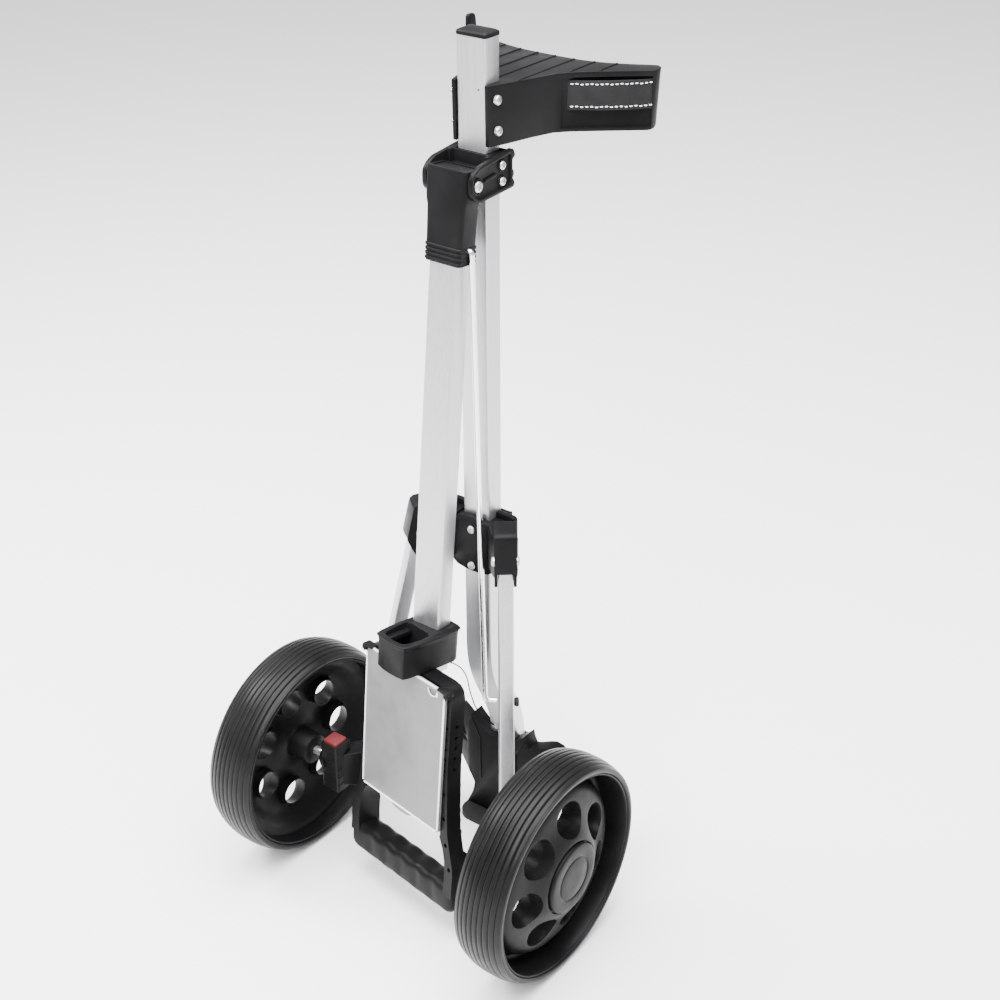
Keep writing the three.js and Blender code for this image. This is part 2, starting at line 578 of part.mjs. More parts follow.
// ---------------------------------------------------------------- legs, axle blocks and buttons
function legTube() {
  const s = LEG.s;
  const skin = slab(roundedRect(s, s, 3), -LEG.len, LEG.above, 2);
  const hollow = slab(roundedRect(s - 2 * LEG.wall, s - 2 * LEG.wall, 1.4), -LEG.len - 5, LEG.above + 5, 1);
  return carve(skin, hollow, rod('x', 4 + GAP, -30, 30, 0, 0, 14),
    rod('x', 2.5 + GAP, -30, 30, 0, LEG_SCREW_Z, 12));
}

const SPRING = { r0: 6, r1: 8.5, z0: 160.3, z1: 167.7 };
function axleBlock(name, side) {
  const frame = legFrames[name];
  const [x0, x1] = [BLOCK.x - BLOCK.s / 2, BLOCK.x + BLOCK.s / 2].map((x) => x * side).sort((a, b) => a - b);
  const h = BLOCK.s / 2;
  const arm = placed(box(-halfLeg - 3.6, halfLeg + 3.6, -60, halfLeg + 3.6, -386, -326), frame);
  const slabCut = box(-400, 400, -200, 200, BLOCK.low, 160);
  const keep = toSolid(box(Math.min(0, side * (BLOCK.x + h)), Math.max(0, side * (BLOCK.x + h)), -h, 80, 0, 300));
  const block = toSolid(box(x0, x1, -h, h, BLOCK.low, BLOCK.top));
  const body = toSolid(arm).intersect(toSolid(slabCut)).intersect(keep).add(block);
  const legRoom = placed(box(-halfLeg - GAP, halfLeg + GAP, -halfLeg - GAP, halfLeg + GAP, -LEG.len - GAP, 0), frame);
  const c = side * BLOCK.x;
  return cut(body, legRoom,
    placed(rod('x', 2.5 + GAP, -30, 30, 0, LEG_SCREW_Z, 12), frame),
    rod('x', AXLE_R + GAP, Math.min(c, c + side * 40) - 14, Math.max(c, c + side * 40) + 14, 0, AXLE_Z, 20),
    box(c - 11.4, c + 11.4, -11.4, 11.4, 160, 200),
    rod('z', 4.5 + GAP, 151, 200, c, 0, 14));
}

function releaseButton(side) {
  const c = side * BLOCK.x;
  return join(
    slab(roundedRect(22, 22, 3), 168, 180, 3).translate(c, 0, 0),
    rod('z', 4.5, 155, 168.5, c, 0, 14),
  );
}

function axle(side) {
  const [a, b] = [BLOCK.x - 12, WHEEL.x + 23].map((x) => x * side).sort((p, q) => p - q);
  const [c, d] = [WHEEL.x + 20.8, WHEEL.x + 24.5].map((x) => x * side).sort((p, q) => p - q);
  return join(rod('x', AXLE_R, a, b, 0, AXLE_Z, 20), rod('x', 9, c, d, 0, AXLE_Z, 20));
}

for (const [name, side] of sides) {
  const frame = legFrames[name];
  add(`leg_tube_${name}`, legTube(), ALU, frame);
  add(`leg_pivot_pin_${name}`, bolt('x', 4, 6.5, -halfLeg - 4 - GAP, halfLeg + 4 + GAP, 0, 0), STEEL, frame);
  add(`leg_screw_${name}`,
    bolt('x', 2.5, 4, -halfLeg - 3.6 - GAP, halfLeg + 3.6 + GAP, 0, LEG_SCREW_Z), STEEL, frame);
  add(`axle_block_${name}`, axleBlock(name, side), BLACK);
  add(`release_button_${name}`, releaseButton(side), RED);
  const bumper = turned('x', [[0, 0], [5, 0], [6, 1], [6, 4.5], [4.5, 6], [0, 6]], 14);
  bumper.translate(halfLeg + GAP, 0, BUMPER_Z);
  if (side < 0) bumper.rotateZ(Math.PI);
  add(`leg_bumper_${name}`, bumper, RUBBER, frame);
  const spring = ring('z', SPRING.r0, SPRING.r1, SPRING.z0, SPRING.z1, 20);
  add(`button_spring_${name}`, spring.translate(side * BLOCK.x, 0, 0), STEEL);
  add(`axle_${name}`, axle(side), STEEL);
}

// ---------------------------------------------------------------- wheels
// Profiles are [radius, distance outward from the wheel's middle plane].
const WHEEL_SIDES = 48;
function wheelTread() {
  const { r, half, shoulder, band } = WHEEL;
  const side = [[r, 6], [r - 0.9, 15], [r - 3.3, 25], [shoulder, half], [band, half]];
  const inner = side.map(([radius, x]) => [radius, -x]).reverse();
  const profile = [...inner, ...side, inner[0]];
  return turned('x', profile, WHEEL_SIDES);
}

function wheelDisc() {
  const bore = BEARING.r + 0.3;
  const rim = WHEEL.band - 0.6;
  const profile = [[bore, -24], [20, -24], [22, 7], [45, 14.5], [70, 13.5], [92, 9], [104, 1], [113, -11],
    [127, -15], [127, -33], [rim, -33.6], [rim, 33.6], [127, 33.6], [126.5, -5], [117, -6], [110, 11],
    [101, 18], [76, 24.6], [54, 35.5], [48, 37.4], [46.5, 35.6], [bore, 33.4], [bore, -24]];
  const holes = Array.from({ length: WHEEL.holes }, (_, i) => {
    const a = (29 + i * 360 / WHEEL.holes) * DEG;
    return new THREE.CylinderGeometry(21, 15, 40, 12).rotateZ(-Math.PI / 2)
      .translate(10, 77 * Math.cos(a), 77 * Math.sin(a));
  });
  return carve(turned('x', profile, 40), ...holes);
}

const hubCap = () => turned('x', [[0, 37.8], [24, 37.6], [45.8, 37.8], [46, 40], [43, 41.4], [30, 41.7],
  [28.6, 40.6], [26.5, 41.6], [0, 42]], 32);

for (const [name, side] of sides) {
  const wheel = new THREE.Group();
  wheel.position.set(side * WHEEL.x, 0, AXLE_Z);
  wheel.rotation.set(0, 0, side > 0 ? 0 : Math.PI);
  cart.add(wheel);
  add(`wheel_tread_${name}`, wheelTread(), RUBBER, wheel);
  add(`wheel_disc_${name}`, wheelDisc(), BLACK, wheel);
  add(`hub_cap_${name}`, hubCap(), BLACK, wheel);
  for (const where of ['inner', 'outer']) {
    const x = BEARING[where];
    add(`bearing_${where}_${name}`, ring('x', AXLE_R + 0.25, BEARING.r, x, x + BEARING.w, 20), STEEL, wheel);
  }
}

// ---------------------------------------------------------------- origin
// Middle of the footprint: the wheels' rear edge to the upper cradle's horn tips.
cart.position.set(0, (WHEEL.r - HORN_TIP[1][1]) / 2, 0);

export default cart;
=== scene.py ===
"""Folding golf cart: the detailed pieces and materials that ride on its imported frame."""
import json
import math
import bpy
import bmesh
from mathutils import Matrix, Vector


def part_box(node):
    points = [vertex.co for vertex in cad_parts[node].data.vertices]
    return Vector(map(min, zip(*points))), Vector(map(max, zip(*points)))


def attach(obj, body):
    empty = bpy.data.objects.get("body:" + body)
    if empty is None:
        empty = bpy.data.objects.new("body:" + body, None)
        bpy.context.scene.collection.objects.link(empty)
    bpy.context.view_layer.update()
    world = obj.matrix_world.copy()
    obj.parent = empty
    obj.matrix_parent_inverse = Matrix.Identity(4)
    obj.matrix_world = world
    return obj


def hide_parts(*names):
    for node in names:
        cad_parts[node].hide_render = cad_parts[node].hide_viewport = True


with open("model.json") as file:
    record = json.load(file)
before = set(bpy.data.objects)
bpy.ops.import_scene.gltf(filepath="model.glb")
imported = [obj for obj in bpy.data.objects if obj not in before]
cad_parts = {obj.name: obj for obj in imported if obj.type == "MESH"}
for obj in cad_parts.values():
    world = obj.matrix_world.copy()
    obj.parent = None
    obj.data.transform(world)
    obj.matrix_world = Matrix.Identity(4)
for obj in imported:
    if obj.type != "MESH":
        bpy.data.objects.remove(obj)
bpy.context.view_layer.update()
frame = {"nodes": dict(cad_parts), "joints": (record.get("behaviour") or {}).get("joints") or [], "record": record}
MM = 0.001

# ------------------------------------------------------------------ camera
WHEEL_LOW, WHEEL_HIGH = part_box("wheel_disc_right")
AXLE_Y = (WHEEL_LOW.y + WHEEL_HIGH.y) / 2          # the camera was placed from the axle line
LENS = 61.4
CAMERA_X, CAMERA_FROM_AXLE, CAMERA_Z = 1.10848, -1.2904, 1.55503
LOOK = Vector((-0.52393, 0.69255, -0.49585))
ROLL = -0.0045


def add_camera():
    data = bpy.data.cameras.new("camera")
    data.lens = LENS
    camera = bpy.data.objects.new("camera", data)
    bpy.context.scene.collection.objects.link(camera)
    camera.location = (CAMERA_X, AXLE_Y + CAMERA_FROM_AXLE, CAMERA_Z)
    turn = LOOK.to_track_quat("-Z", "Y").to_matrix().to_4x4()
    camera.rotation_euler = (turn @ Matrix.Rotation(ROLL, 4, "Z")).to_euler()
    bpy.context.scene.camera = camera


add_camera()


# ------------------------------------------------------------------ materials
def principled(name, color, roughness, metallic=0.0, **sockets):
    material = bpy.data.materials.new(name)
    material.use_nodes = True
    shader = material.node_tree.nodes["Principled BSDF"]
    shader.inputs["Base Color"].default_value = (*color, 1)
    shader.inputs["Roughness"].default_value = roughness
    shader.inputs["Metallic"].default_value = metallic
    for key, value in sockets.items():
        shader.inputs[key.replace("_", " ")].default_value = value
    return material, shader


def noise(material, scale, stretch=(1, 1, 1), detail=3.0):
    """A noise texture in the object's own metres, stretched along its axes."""
    nodes, links = material.node_tree.nodes, material.node_tree.links
    place = nodes.new("ShaderNodeTexCoord")
    mapping = nodes.new("ShaderNodeMapping")
    mapping.inputs["Scale"].default_value = stretch
    texture = nodes.new("ShaderNodeTexNoise")
    texture.inputs["Scale"].default_value = scale
    texture.inputs["Detail"].default_value = detail
    links.new(place.outputs["Object"], mapping.inputs["Vector"])
    links.new(mapping.outputs["Vector"], texture.inputs["Vector"])
    return texture


def ramp_to(material, texture, socket, low, high):
    """Drives a shader socket with the noise, from low to high (numbers or colours)."""
    nodes, links = material.node_tree.nodes, material.node_tree.links
    ramp = nodes.new("ShaderNodeValToRGB")
    ramp.color_ramp.elements[0].position = 0.35
    ramp.color_ramp.elements[1].position = 0.65
    for element, value in zip(ramp.color_ramp.elements, (low, high)):
        element.color = (*value, 1) if isinstance(value, tuple) else (value, value, value, 1)
    links.new(texture.outputs["Fac"], ramp.inputs["Fac"])
    links.new(ramp.outputs["Color"], socket)


def bump_to(material, shader, texture, strength, depth):
    nodes, links = material.node_tree.nodes, material.node_tree.links
    bump = nodes.new("ShaderNodeBump")
    bump.inputs["Strength"].default_value = strength
    bump.inputs["Distance"].default_value = depth
    links.new(texture.outputs["Fac"], bump.inputs["Height"])
    links.new(bump.outputs["Normal"], shader.inputs["Normal"])


def satin_aluminium():
    material, shader = principled("satin_aluminium", (0.52, 0.528, 0.536), 0.36, 0.92)
    streaks = noise(material, 900, (1, 1, 0.01))
    ramp_to(material, streaks, shader.inputs["Base Color"], (0.48, 0.488, 0.496), (0.56, 0.568, 0.576))
    ramp_to(material, streaks, shader.inputs["Roughness"], 0.34, 0.44)
    bump_to(material, shader, streaks, 0.08, 0.0002)
    return material


def moulded(name, color, roughness, grain=1600, depth=0.00012, strength=0.3, shine=0.3):
    """Black moulded plastic or rubber: a fine spark texture and slow changes in sheen."""
    material, shader = principled(name, color, roughness, Specular_IOR_Level=shine)
    patches = noise(material, 14, detail=5)
    lighter = tuple(c * 1.35 + 0.002 for c in color)
    ramp_to(material, patches, shader.inputs["Base Color"], color, lighter)
    ramp_to(material, noise(material, 45), shader.inputs["Roughness"], roughness - 0.05, roughness + 0.06)
    bump_to(material, shader, noise(material, grain, detail=1), strength, depth)
    return material


def bright_metal(name, color, roughness):
    material, shader = principled(name, color, roughness, 1.0)
    wear = noise(material, 220, detail=4)
    ramp_to(material, wear, shader.inputs["Roughness"], roughness, roughness + 0.14)
    bump_to(material, shader, wear, 0.05, 0.0001)
    return material


def card_sheet():
    material, shader = principled("card_plastic", (0.19, 0.193, 0.196), 0.42, Transmission_Weight=0.25)
    haze = noise(material, 60, detail=6)
    ramp_to(material, haze, shader.inputs["Base Color"], (0.178, 0.181, 0.184), (0.21, 0.213, 0.216))
    ramp_to(material, haze, shader.inputs["Roughness"], 0.36, 0.48)
    bump_to(material, shader, noise(material, 1200, detail=1), 0.1, 0.0001)
    return material


MATERIALS = {
    "satin_aluminium": satin_aluminium(),
    "black_plastic": moulded("black_plastic", (0.0035, 0.0035, 0.0038), 0.40, shine=0.08),
    "wheel_plastic": moulded("wheel_plastic", (0.0035, 0.0035, 0.0038), 0.38, shine=0.08),
    "tyre_rubber": moulded("tyre_rubber", (0.0035, 0.0035, 0.0035), 0.34, grain=700, strength=0.06,
                           shine=0.12),
    "soft_rubber": moulded("soft_rubber", (0.004, 0.004, 0.004), 0.62),
    "cord_rubber": moulded("cord_rubber", (0.0015, 0.0015, 0.0015), 0.6, grain=3000, shine=0.1),
    "strap_webbing": moulded("strap_webbing", (0.005, 0.005, 0.0055), 0.85, grain=1400, strength=0.8),
    "zinc_steel": bright_metal("zinc_steel", (0.62, 0.62, 0.63), 0.3),
    "bright_rod": bright_metal("bright_rod", (0.88, 0.88, 0.89), 0.12),
    "card_plastic": card_sheet(),
    "button_red": moulded("button_red", (0.08, 0.008, 0.010), 0.5),
}
SLOTS = {part["node"]: part["material_slot"] for part in frame["record"]["subparts"]}
for name, node in frame["nodes"].items():
    node.data.materials.clear()
    node.data.materials.append(MATERIALS[SLOTS[name]])


# ------------------------------------------------------------------ mesh tools (millimetres)
JOINTS = {joint["name"]: joint for joint in frame["joints"]}
NODE_BODY = {node: body for body, names in frame["record"]["behaviour"]["bodies"].items() for node in names}
SCALE = Matrix.Scale(MM, 4)


def axis_point(axis, along, u, v):
    """A point from its place along an axis and its other two coordinates, in x, y, z order."""
    return {"x": (along, u, v), "y": (u, along, v), "z": (u, v, along)}[axis]


def bridge(bm, rings, closed=False):
    """Faces between rings of vertices that have the same count."""
    pairs = list(zip(rings, rings[1:])) + ([(rings[-1], rings[0])] if closed else [])
    for a, b in pairs:
        for i in range(len(a)):
            j = (i + 1) % len(a)
            bm.faces.new((a[i], a[j], b[j], b[i]))


def loft(bm, rings):
    """A closed solid: walls between the rings and a face on each end."""
    bridge(bm, rings)
    bm.faces.new(rings[0])
    bm.faces.new(rings[-1])
    bmesh.ops.recalc_face_normals(bm, faces=bm.faces)
    return bm


def prism(outline, low, high, axis="z"):
    """A solid from an outline (two coordinates in x, y, z order) along an axis."""
    bm = bmesh.new()
    rings = [[bm.verts.new(axis_point(axis, w, u, v)) for u, v in outline] for w in (low, high)]
    return loft(bm, rings)


def block(x0, x1, y0, y1, z0, z1):
    return prism([(x0, y0), (x1, y0), (x1, y1), (x0, y1)], z0, z1)


def lathe(profile, steps, axis="x", centre=(0, 0)):
    """A closed ring or a capped solid: the profile is (radius, place along the axis)."""
    bm = bmesh.new()
    rings = []
    for radius, along in profile:
        if radius == 0:
            rings.append([bm.verts.new(axis_point(axis, along, *centre))])
            continue
        ring = []
        for i in range(steps):
            a = 2 * math.pi * i / steps
            u, v = centre[0] + radius * math.cos(a), centre[1] + radius * math.sin(a)
            ring.append(bm.verts.new(axis_point(axis, along, u, v)))
        rings.append(ring)
    solid = profile[0][0] == 0
    for a, b in zip(rings, rings[1:] + ([] if solid else rings[:1])):
        for i in range(steps):
            j = (i + 1) % steps
            if len(a) == 1:
                bm.faces.new((a[0], b[j], b[i]))
            elif len(b) == 1:
                bm.faces.new((a[i], a[j], b[0]))
            else:
                bm.faces.new((a[i], a[j], b[j], b[i]))
    bmesh.ops.recalc_face_normals(bm, faces=bm.faces)
    return bm


def rod(radius, low, high, steps, axis="x", centre=(0, 0)):
    return lathe([(0, low), (radius, low), (radius, high), (0, high)], steps, axis, centre)


def rounded(half_u, half_v, radius, steps=5, centre=(0, 0)):
    """Points round a rectangle with rounded corners."""
    points = []
    for k, (su, sv) in enumerate(((1, -1), (1, 1), (-1, 1), (-1, -1))):
        for i in range(steps + 1):
            a = math.radians(-90 + 90 * k + 90 * i / steps)
            points.append((centre[0] + su * (half_u - radius) + radius * math.cos(a),
                           centre[1] + sv * (half_v - radius) + radius * math.sin(a)))
    return points


def spline(points, steps=6, closed=True):
    """A smooth outline through a few points."""
    count = len(points)
    out = []
    last = count if closed else count - 1
    for i in range(last):
        p = [Vector(points[(i + k) % count] if closed else points[min(max(i + k, 0), count - 1)])
             for k in (-1, 0, 1, 2)]
        for j in range(steps):
            t = j / steps
            out.append(tuple(0.5 * (2 * p[1] + (p[2] - p[0]) * t
                                    + (2 * p[0] - 5 * p[1] + 4 * p[2] - p[3]) * t * t
                                    + (3 * p[1] - p[0] - 3 * p[2] + p[3]) * t * t * t)))
    if not closed:
        out.append(tuple(points[-1]))
    return out


def round_corners(points, radius, steps=4):
    """An outline whose corners are rounded; a point may bring its own radius as a third number."""
    out = []
    for i, point in enumerate(points):
        r = point[2] if len(point) > 2 else radius
        here = Vector(point[:2])
        back = Vector(points[i - 1][:2]) - here
        on = Vector(points[(i + 1) % len(points)][:2]) - here
        reach = min(r, back.length * 0.45, on.length * 0.45)
        if r == 0:
            out.append(tuple(here))
            continue
        a, b = here + back.normalized() * reach, here + on.normalized() * reach
        for k in range(steps + 1):
            t = k / steps
            out.append(tuple(a * (1 - t) ** 2 + here * 2 * t * (1 - t) + b * t * t))
    return out


def sweep(points, radius, steps=16):
    """A round bar along a list of points."""
    pts = [Vector(p) for p in points]
    bm = bmesh.new()
    rings = []
    side = Vector((0, 1, 0))
    for i, point in enumerate(pts):
        along = (pts[min(i + 1, len(pts) - 1)] - pts[max(i - 1, 0)]).normalized()
        side = (side - along * side.dot(along)).normalized()
        other = along.cross(side)
        rings.append([bm.verts.new(point + (side * math.cos(2 * math.pi * k / steps)
                                            + other * math.sin(2 * math.pi * k / steps)) * radius)
                      for k in range(steps)])
    return loft(bm, rings)


def ball(radius, stretch, at, segments, rows):
    bm = bmesh.new()
    bmesh.ops.create_uvsphere(bm, u_segments=segments, v_segments=rows, radius=radius)
    bmesh.ops.scale(bm, vec=stretch, verts=bm.verts)
    bmesh.ops.translate(bm, verts=bm.verts, vec=at)
    return bm


def merged(*parts):
    """Several meshes as one, left as separate shells."""
    bm = bmesh.new()
    for part in parts:
        mesh = bpy.data.meshes.new("part")
        part.to_mesh(mesh)
        bm.from_mesh(mesh)
        bpy.data.meshes.remove(mesh)
        part.free()
    return bm


def boolean(base, tools, operation="DIFFERENCE"):
    """base with the tools cut out of it, or joined to it."""
    def as_object(bm):
        mesh = bpy.data.meshes.new("tool")
        bm.to_mesh(mesh)
        bm.free()
        obj = bpy.data.objects.new("tool", mesh)
        bpy.context.scene.collection.objects.link(obj)
        return obj

    target = as_object(base)
    cutters = [as_object(tool) for tool in tools]
    for cutter in cutters:
        step = target.modifiers.new("boolean", "BOOLEAN")
        step.operation = operation
        step.solver = "EXACT"
        step.object = cutter
    bpy.context.view_layer.update()
    result = bmesh.new()
    result.from_object(target, bpy.context.evaluated_depsgraph_get())
    for obj in [target, *cutters]:
        mesh = obj.data
        bpy.data.objects.remove(obj)
        bpy.data.meshes.remove(mesh)
    return result


def soften(bm, width, segments=2, angle=32):
    """Rounds the sharp edges, as a moulded part's are."""
    bmesh.ops.remove_doubles(bm, verts=bm.verts, dist=0.004)
    bmesh.ops.dissolve_limit(bm, angle_limit=math.radians(1.2), verts=bm.verts, edges=bm.edges)
    limit = math.radians(angle)
    edges = [e for e in bm.edges if len(e.link_faces) == 2 and e.calc_face_angle() > limit]
    bmesh.ops.bevel(bm, geom=edges, offset=width, segments=segments, profile=0.5,
                    affect="EDGES", clamp_overlap=True)
    return bm


def piece(name, bm, slot, body, place=Matrix.Identity(4), replaces=(), smooth=38):
    """Makes an object of a mesh in millimetres, in its place, riding on a body."""
    bmesh.ops.transform(bm, matrix=place @ SCALE, verts=bm.verts)
    limit = math.radians(smooth)
    for face in bm.faces:
        face.smooth = True
    for edge in bm.edges:
        edge.smooth = len(edge.link_faces) == 2 and edge.calc_face_angle() < limit
    mesh = bpy.data.meshes.new(name)
    bm.to_mesh(mesh)
    bm.free()
    mesh.materials.append(MATERIALS[slot])
    obj = bpy.data.objects.new(name, mesh)
    bpy.context.scene.collection.objects.link(obj)
    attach(obj, body)
    if replaces:
        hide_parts(*replaces)
    return obj


def look(node, bm, place=Matrix.Identity(4), smooth=38):
    """The piece that stands for one CAD node, on that node's body and in its material slot."""
    return piece(f"{node}_look", bm, SLOTS[node], NODE_BODY[node], place, (node,), smooth)


# ------------------------------------------------------------------ local frames
LEAN = math.radians(6.25)
HEAD_TURN = math.radians(9.9)
HEAD_Y = -35
LEG_AZIMUTH = math.radians(37.4)
LEG_SPLAY = math.radians(12.64)


def metres(matrix):
    """A placing matrix whose translation is in millimetres, for meshes scaled to metres."""
    out = matrix.copy()
    out.translation = matrix.translation * MM
    return out


pivot = Vector(JOINTS["handle_fold"]["pos_m"]) / MM
HANDLE_MM = Matrix.Translation(pivot) @ Matrix.Rotation(-LEAN, 4, "X")
HEAD_MM = HANDLE_MM @ Matrix.Translation((0, HEAD_Y, 0)) @ Matrix.Rotation(-HEAD_TURN, 4, "Z")
HANDLE = metres(HANDLE_MM)
HEAD = metres(HEAD_MM)


def leg_frame(side):
    pin = Vector(JOINTS[f"leg_fold_{side}"]["pos_m"]) / MM
    sign = 1 if side == "right" else -1
    return metres(Matrix.Translation(pin) @ Matrix.Rotation(sign * LEG_AZIMUTH, 4, "Z")
                  @ Matrix.Rotation(-LEG_SPLAY, 4, "X"))


SIDES = {"right": 1, "left": -1}
CART = Matrix.Translation((0, AXLE_Y, 0))           # layouts measured from the wheel axle line


def cart_leg_frame(side):
    """A leg's frame in millimetres, measured from the wheel axle line."""
    out = leg_frame(side)
    out.translation = out.translation / MM - Vector((0, AXLE_Y / MM, 0))
    return out


# ------------------------------------------------------------------ tether cord
CORD_ROUTE = [(-7, 168.5, 159), (-10, 163.5, 166), (-14, 155, 178), (-20, 147, 194), (-27, 148, 206),
              (-35, 152, 216), (-43, 157, 228), (-52, 157, 239), (-62, 152, 246), (-74, 147, 247),
              (-85, 143, 240), (-92, 146, 226), (-95, 155, 209), (-94, 168, 192), (-91, 178, 177),
              (-87, 185, 166), (-84, 189, 156)]
CORD_DIAMETER = 0.0018


def tether_cord():
    """Thin cord that arches from a ferrule on the main tube over to the lower cradle's left arm."""
    points = [CART @ (Vector(p) * MM) for p in spline(CORD_ROUTE, 4, closed=False)]
    curve = bpy.data.curves.new("tether_cord_look", "CURVE")
    curve.dimensions = "3D"
    curve.bevel_depth = CORD_DIAMETER / 2
    curve.bevel_resolution = 3
    curve.use_fill_caps = True
    line = curve.splines.new("POLY")
    line.points.add(len(points) - 1)
    for place, point in zip(line.points, points):
        place.co = (*point, 1)
    curve.materials.append(MATERIALS["cord_rubber"])
    obj = bpy.data.objects.new("tether_cord_look", curve)
    bpy.context.scene.collection.objects.link(obj)
    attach(obj, "frame")
    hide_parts("tether_cord")


tether_cord()

# ------------------------------------------------------------------ wheels
WHEEL_STEPS = 112


def tread_profile():
    """Crowned outer face with rounded ribs and narrow grooves between them, then the inner face."""
    half, ribs = 33.4, 9
    points = []
    steps = ribs * 10
    for i in range(steps + 1):
        x = -half + 2 * half * i / steps
        crown = 144.5 - 6.6 * abs(x / half) ** 2.5
        phase = (i % 10) / 10
        groove = 1.5 * (1 - min(1, min(phase, 1 - phase) / 0.22) ** 0.5)
        if i in (0, steps):
            groove = 0
        points.append((crown - groove, x))
    inner = 131.5
    return points + [(136.6, 34), (134.4, 34), (132.6, 33.6), (inner, 32.4),
                     (inner, -32.4), (132.6, -33.6), (134.4, -34), (136.6, -34)]


def disc_profile():
    """Rim wall, valley, domed web and hub, from the inner side round to the outer side."""
    inner_side = [(12, -23.5), (19, -23.5), (20.5, -22), (22, 6), (24, 9), (45, 14.5), (70, 13.5), (92, 9),
                  (104, 2), (112, -10), (120, -14), (126.2, -15), (127, -18), (127.4, -30)]
    rim = [(128.4, -31.8), (130.6, -31.8), (130.8, -30), (130.8, 30), (130.6, 31.8), (129, 31.8), (127.8, 30)]
    outer_side = [(126.9, 14), (126.4, -3), (124.5, -6.5), (121, -8), (117.6, -5.5), (115.5, 0),
                  (111.5, 9), (107, 14.5), (101, 18.2), (92, 20.6), (84, 22.4), (76, 24.8), (69, 27.6),
                  (62, 31.2),
                  (55, 34.8), (51, 36.6), (49, 37.2), (47.6, 37), (46.8, 35.8), (46.6, 33.8), (12, 33.4)]
    return inner_side + rim + outer_side


def oval(bm, angle, x, across, along):
    """A ring round a hole of the web, which leans outwards; across is along the wheel's radius."""
    ring = []
    for i in range(28):
        t = 2 * math.pi * i / 28
        u, v = 77 + 0.22 * (min(x, 24) - 22) + across * math.cos(t), along * math.sin(t)
        ring.append(bm.verts.new((x, u * math.cos(angle) - v * math.sin(angle),
                                  u * math.sin(angle) + v * math.cos(angle))))
    return ring


def hole_tool(angle):
    """One tapered oval cutter, wide at the outer face and narrower inside."""
    bm = bmesh.new()
    rings = [oval(bm, angle, x, across, along) for x, across, along in
             ((42, 23.2, 28), (30, 22.6, 27), (23, 21.6, 25.4), (17, 19.6, 22.6), (6, 17.6, 19.6),
              (-18, 16, 17))]
    return loft(bm, rings)


def hole_collar(angle):
    """The tapered wall that carries a hole on behind the web."""
    bm = bmesh.new()
    rings = [oval(bm, angle, x, across, along) for x, across, along in
             ((16, 19.4, 22.3), (6, 17.6, 19.6), (1, 17.0, 18.8), (1, 18.6, 20.4), (6, 19.2, 21.2),
              (16, 21.4, 24.3))]
    bridge(bm, rings, closed=True)
    bmesh.ops.recalc_face_normals(bm, faces=bm.faces)
    return bm


def wheel(side):
    low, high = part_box(f"wheel_tread_{side}")
    place = Matrix.Translation((low + high) / 2)
    if side == "left":
        place = place @ Matrix.Rotation(math.pi, 4, "Z")
    body = f"wheel_{side}"
    piece(f"tread_{side}", lathe(tread_profile(), WHEEL_STEPS), "tyre_rubber", body, place,
          (f"wheel_tread_{side}",), smooth=60)
    angles = [math.radians(29 + 360 * k / 7) for k in range(7)]
    disc = boolean(lathe(disc_profile(), WHEEL_STEPS), [hole_tool(angle) for angle in angles])
    edges = [e for e in disc.edges if len(e.link_faces) == 2 and e.calc_face_angle() > math.radians(40)
             and all(50 < math.hypot(v.co.y, v.co.z) < 104 for v in e.verts)]
    bmesh.ops.bevel(disc, geom=edges, offset=1.3, segments=3, profile=0.5, affect="EDGES", clamp_overlap=True)
    seal = lathe([(7, -24.4), (18, -24.4), (18.6, -23.9), (18.6, -23.2), (7, -23.2)], 40)
    disc = merged(disc, seal, *[hole_collar(angle) for angle in angles])
    piece(f"disc_{side}", disc, "wheel_plastic", body, place, (f"wheel_disc_{side}",), smooth=50)
    cap = [(0, 33.8), (44.4, 33.8), (45.4, 35), (45.9, 37.6), (45.8, 39.4), (45, 40.6), (43.2, 41.3),
           (40, 41.5),
           (31, 41.8), (29.6, 41.4), (28.8, 40.6), (28.0, 40.6), (27.2, 41.3), (25.6, 41.7), (12, 41.9),
           (0, 42)]
    piece(f"cap_{side}", lathe(cap, 72), "wheel_plastic", body, place, (f"hub_cap_{side}",), smooth=50)


for side in SIDES:
    wheel(side)


# ------------------------------------------------------------------ tubes
TUBE_W, TUBE_D, TUBE_WALL, TUBE_R = 39.5, 25.5, 2.2, 2.6
ROOM_W, ROOM_D = TUBE_W / 2 + 0.15, TUBE_D / 2 + 0.15          # half sizes of a hole the tube fits
TUBE_Y = 139.5                                      # the main tube's middle, from the axle line


def tube_ring(bm, half_u, half_v, radius, centre, along, slope=0.0):
    """One ring of a rectangular tube that runs along Z, stretched across a slope."""
    stretch = math.hypot(1, slope)
    return [bm.verts.new((u, centre + v * stretch, along)) for u, v in rounded(half_u, half_v, radius, 4)]


def tube(half_u, half_v, radius, wall, heights, centre_at=lambda z: 0.0):
    """A hollow rectangular tube with open ends."""
    bm = bmesh.new()
    rings = []
    for inset, order in ((0, heights), (wall, list(reversed(heights)))):
        for z in order:
            slope = (centre_at(z + 1) - centre_at(z - 1)) / 2
            rings.append(tube_ring(bm, half_u - inset, half_v - inset, max(radius - inset, 0.8),
                                   centre_at(z), z, slope))
    bridge(bm, rings, closed=True)
    bmesh.ops.recalc_face_normals(bm, faces=bm.faces)
    return bm


def tube_room(low, high):
    """The space the main tube takes up between two heights, for cutting out of what clamps it."""
    return block(-ROOM_W, ROOM_W, TUBE_Y - ROOM_D, TUBE_Y + ROOM_D, low, high)


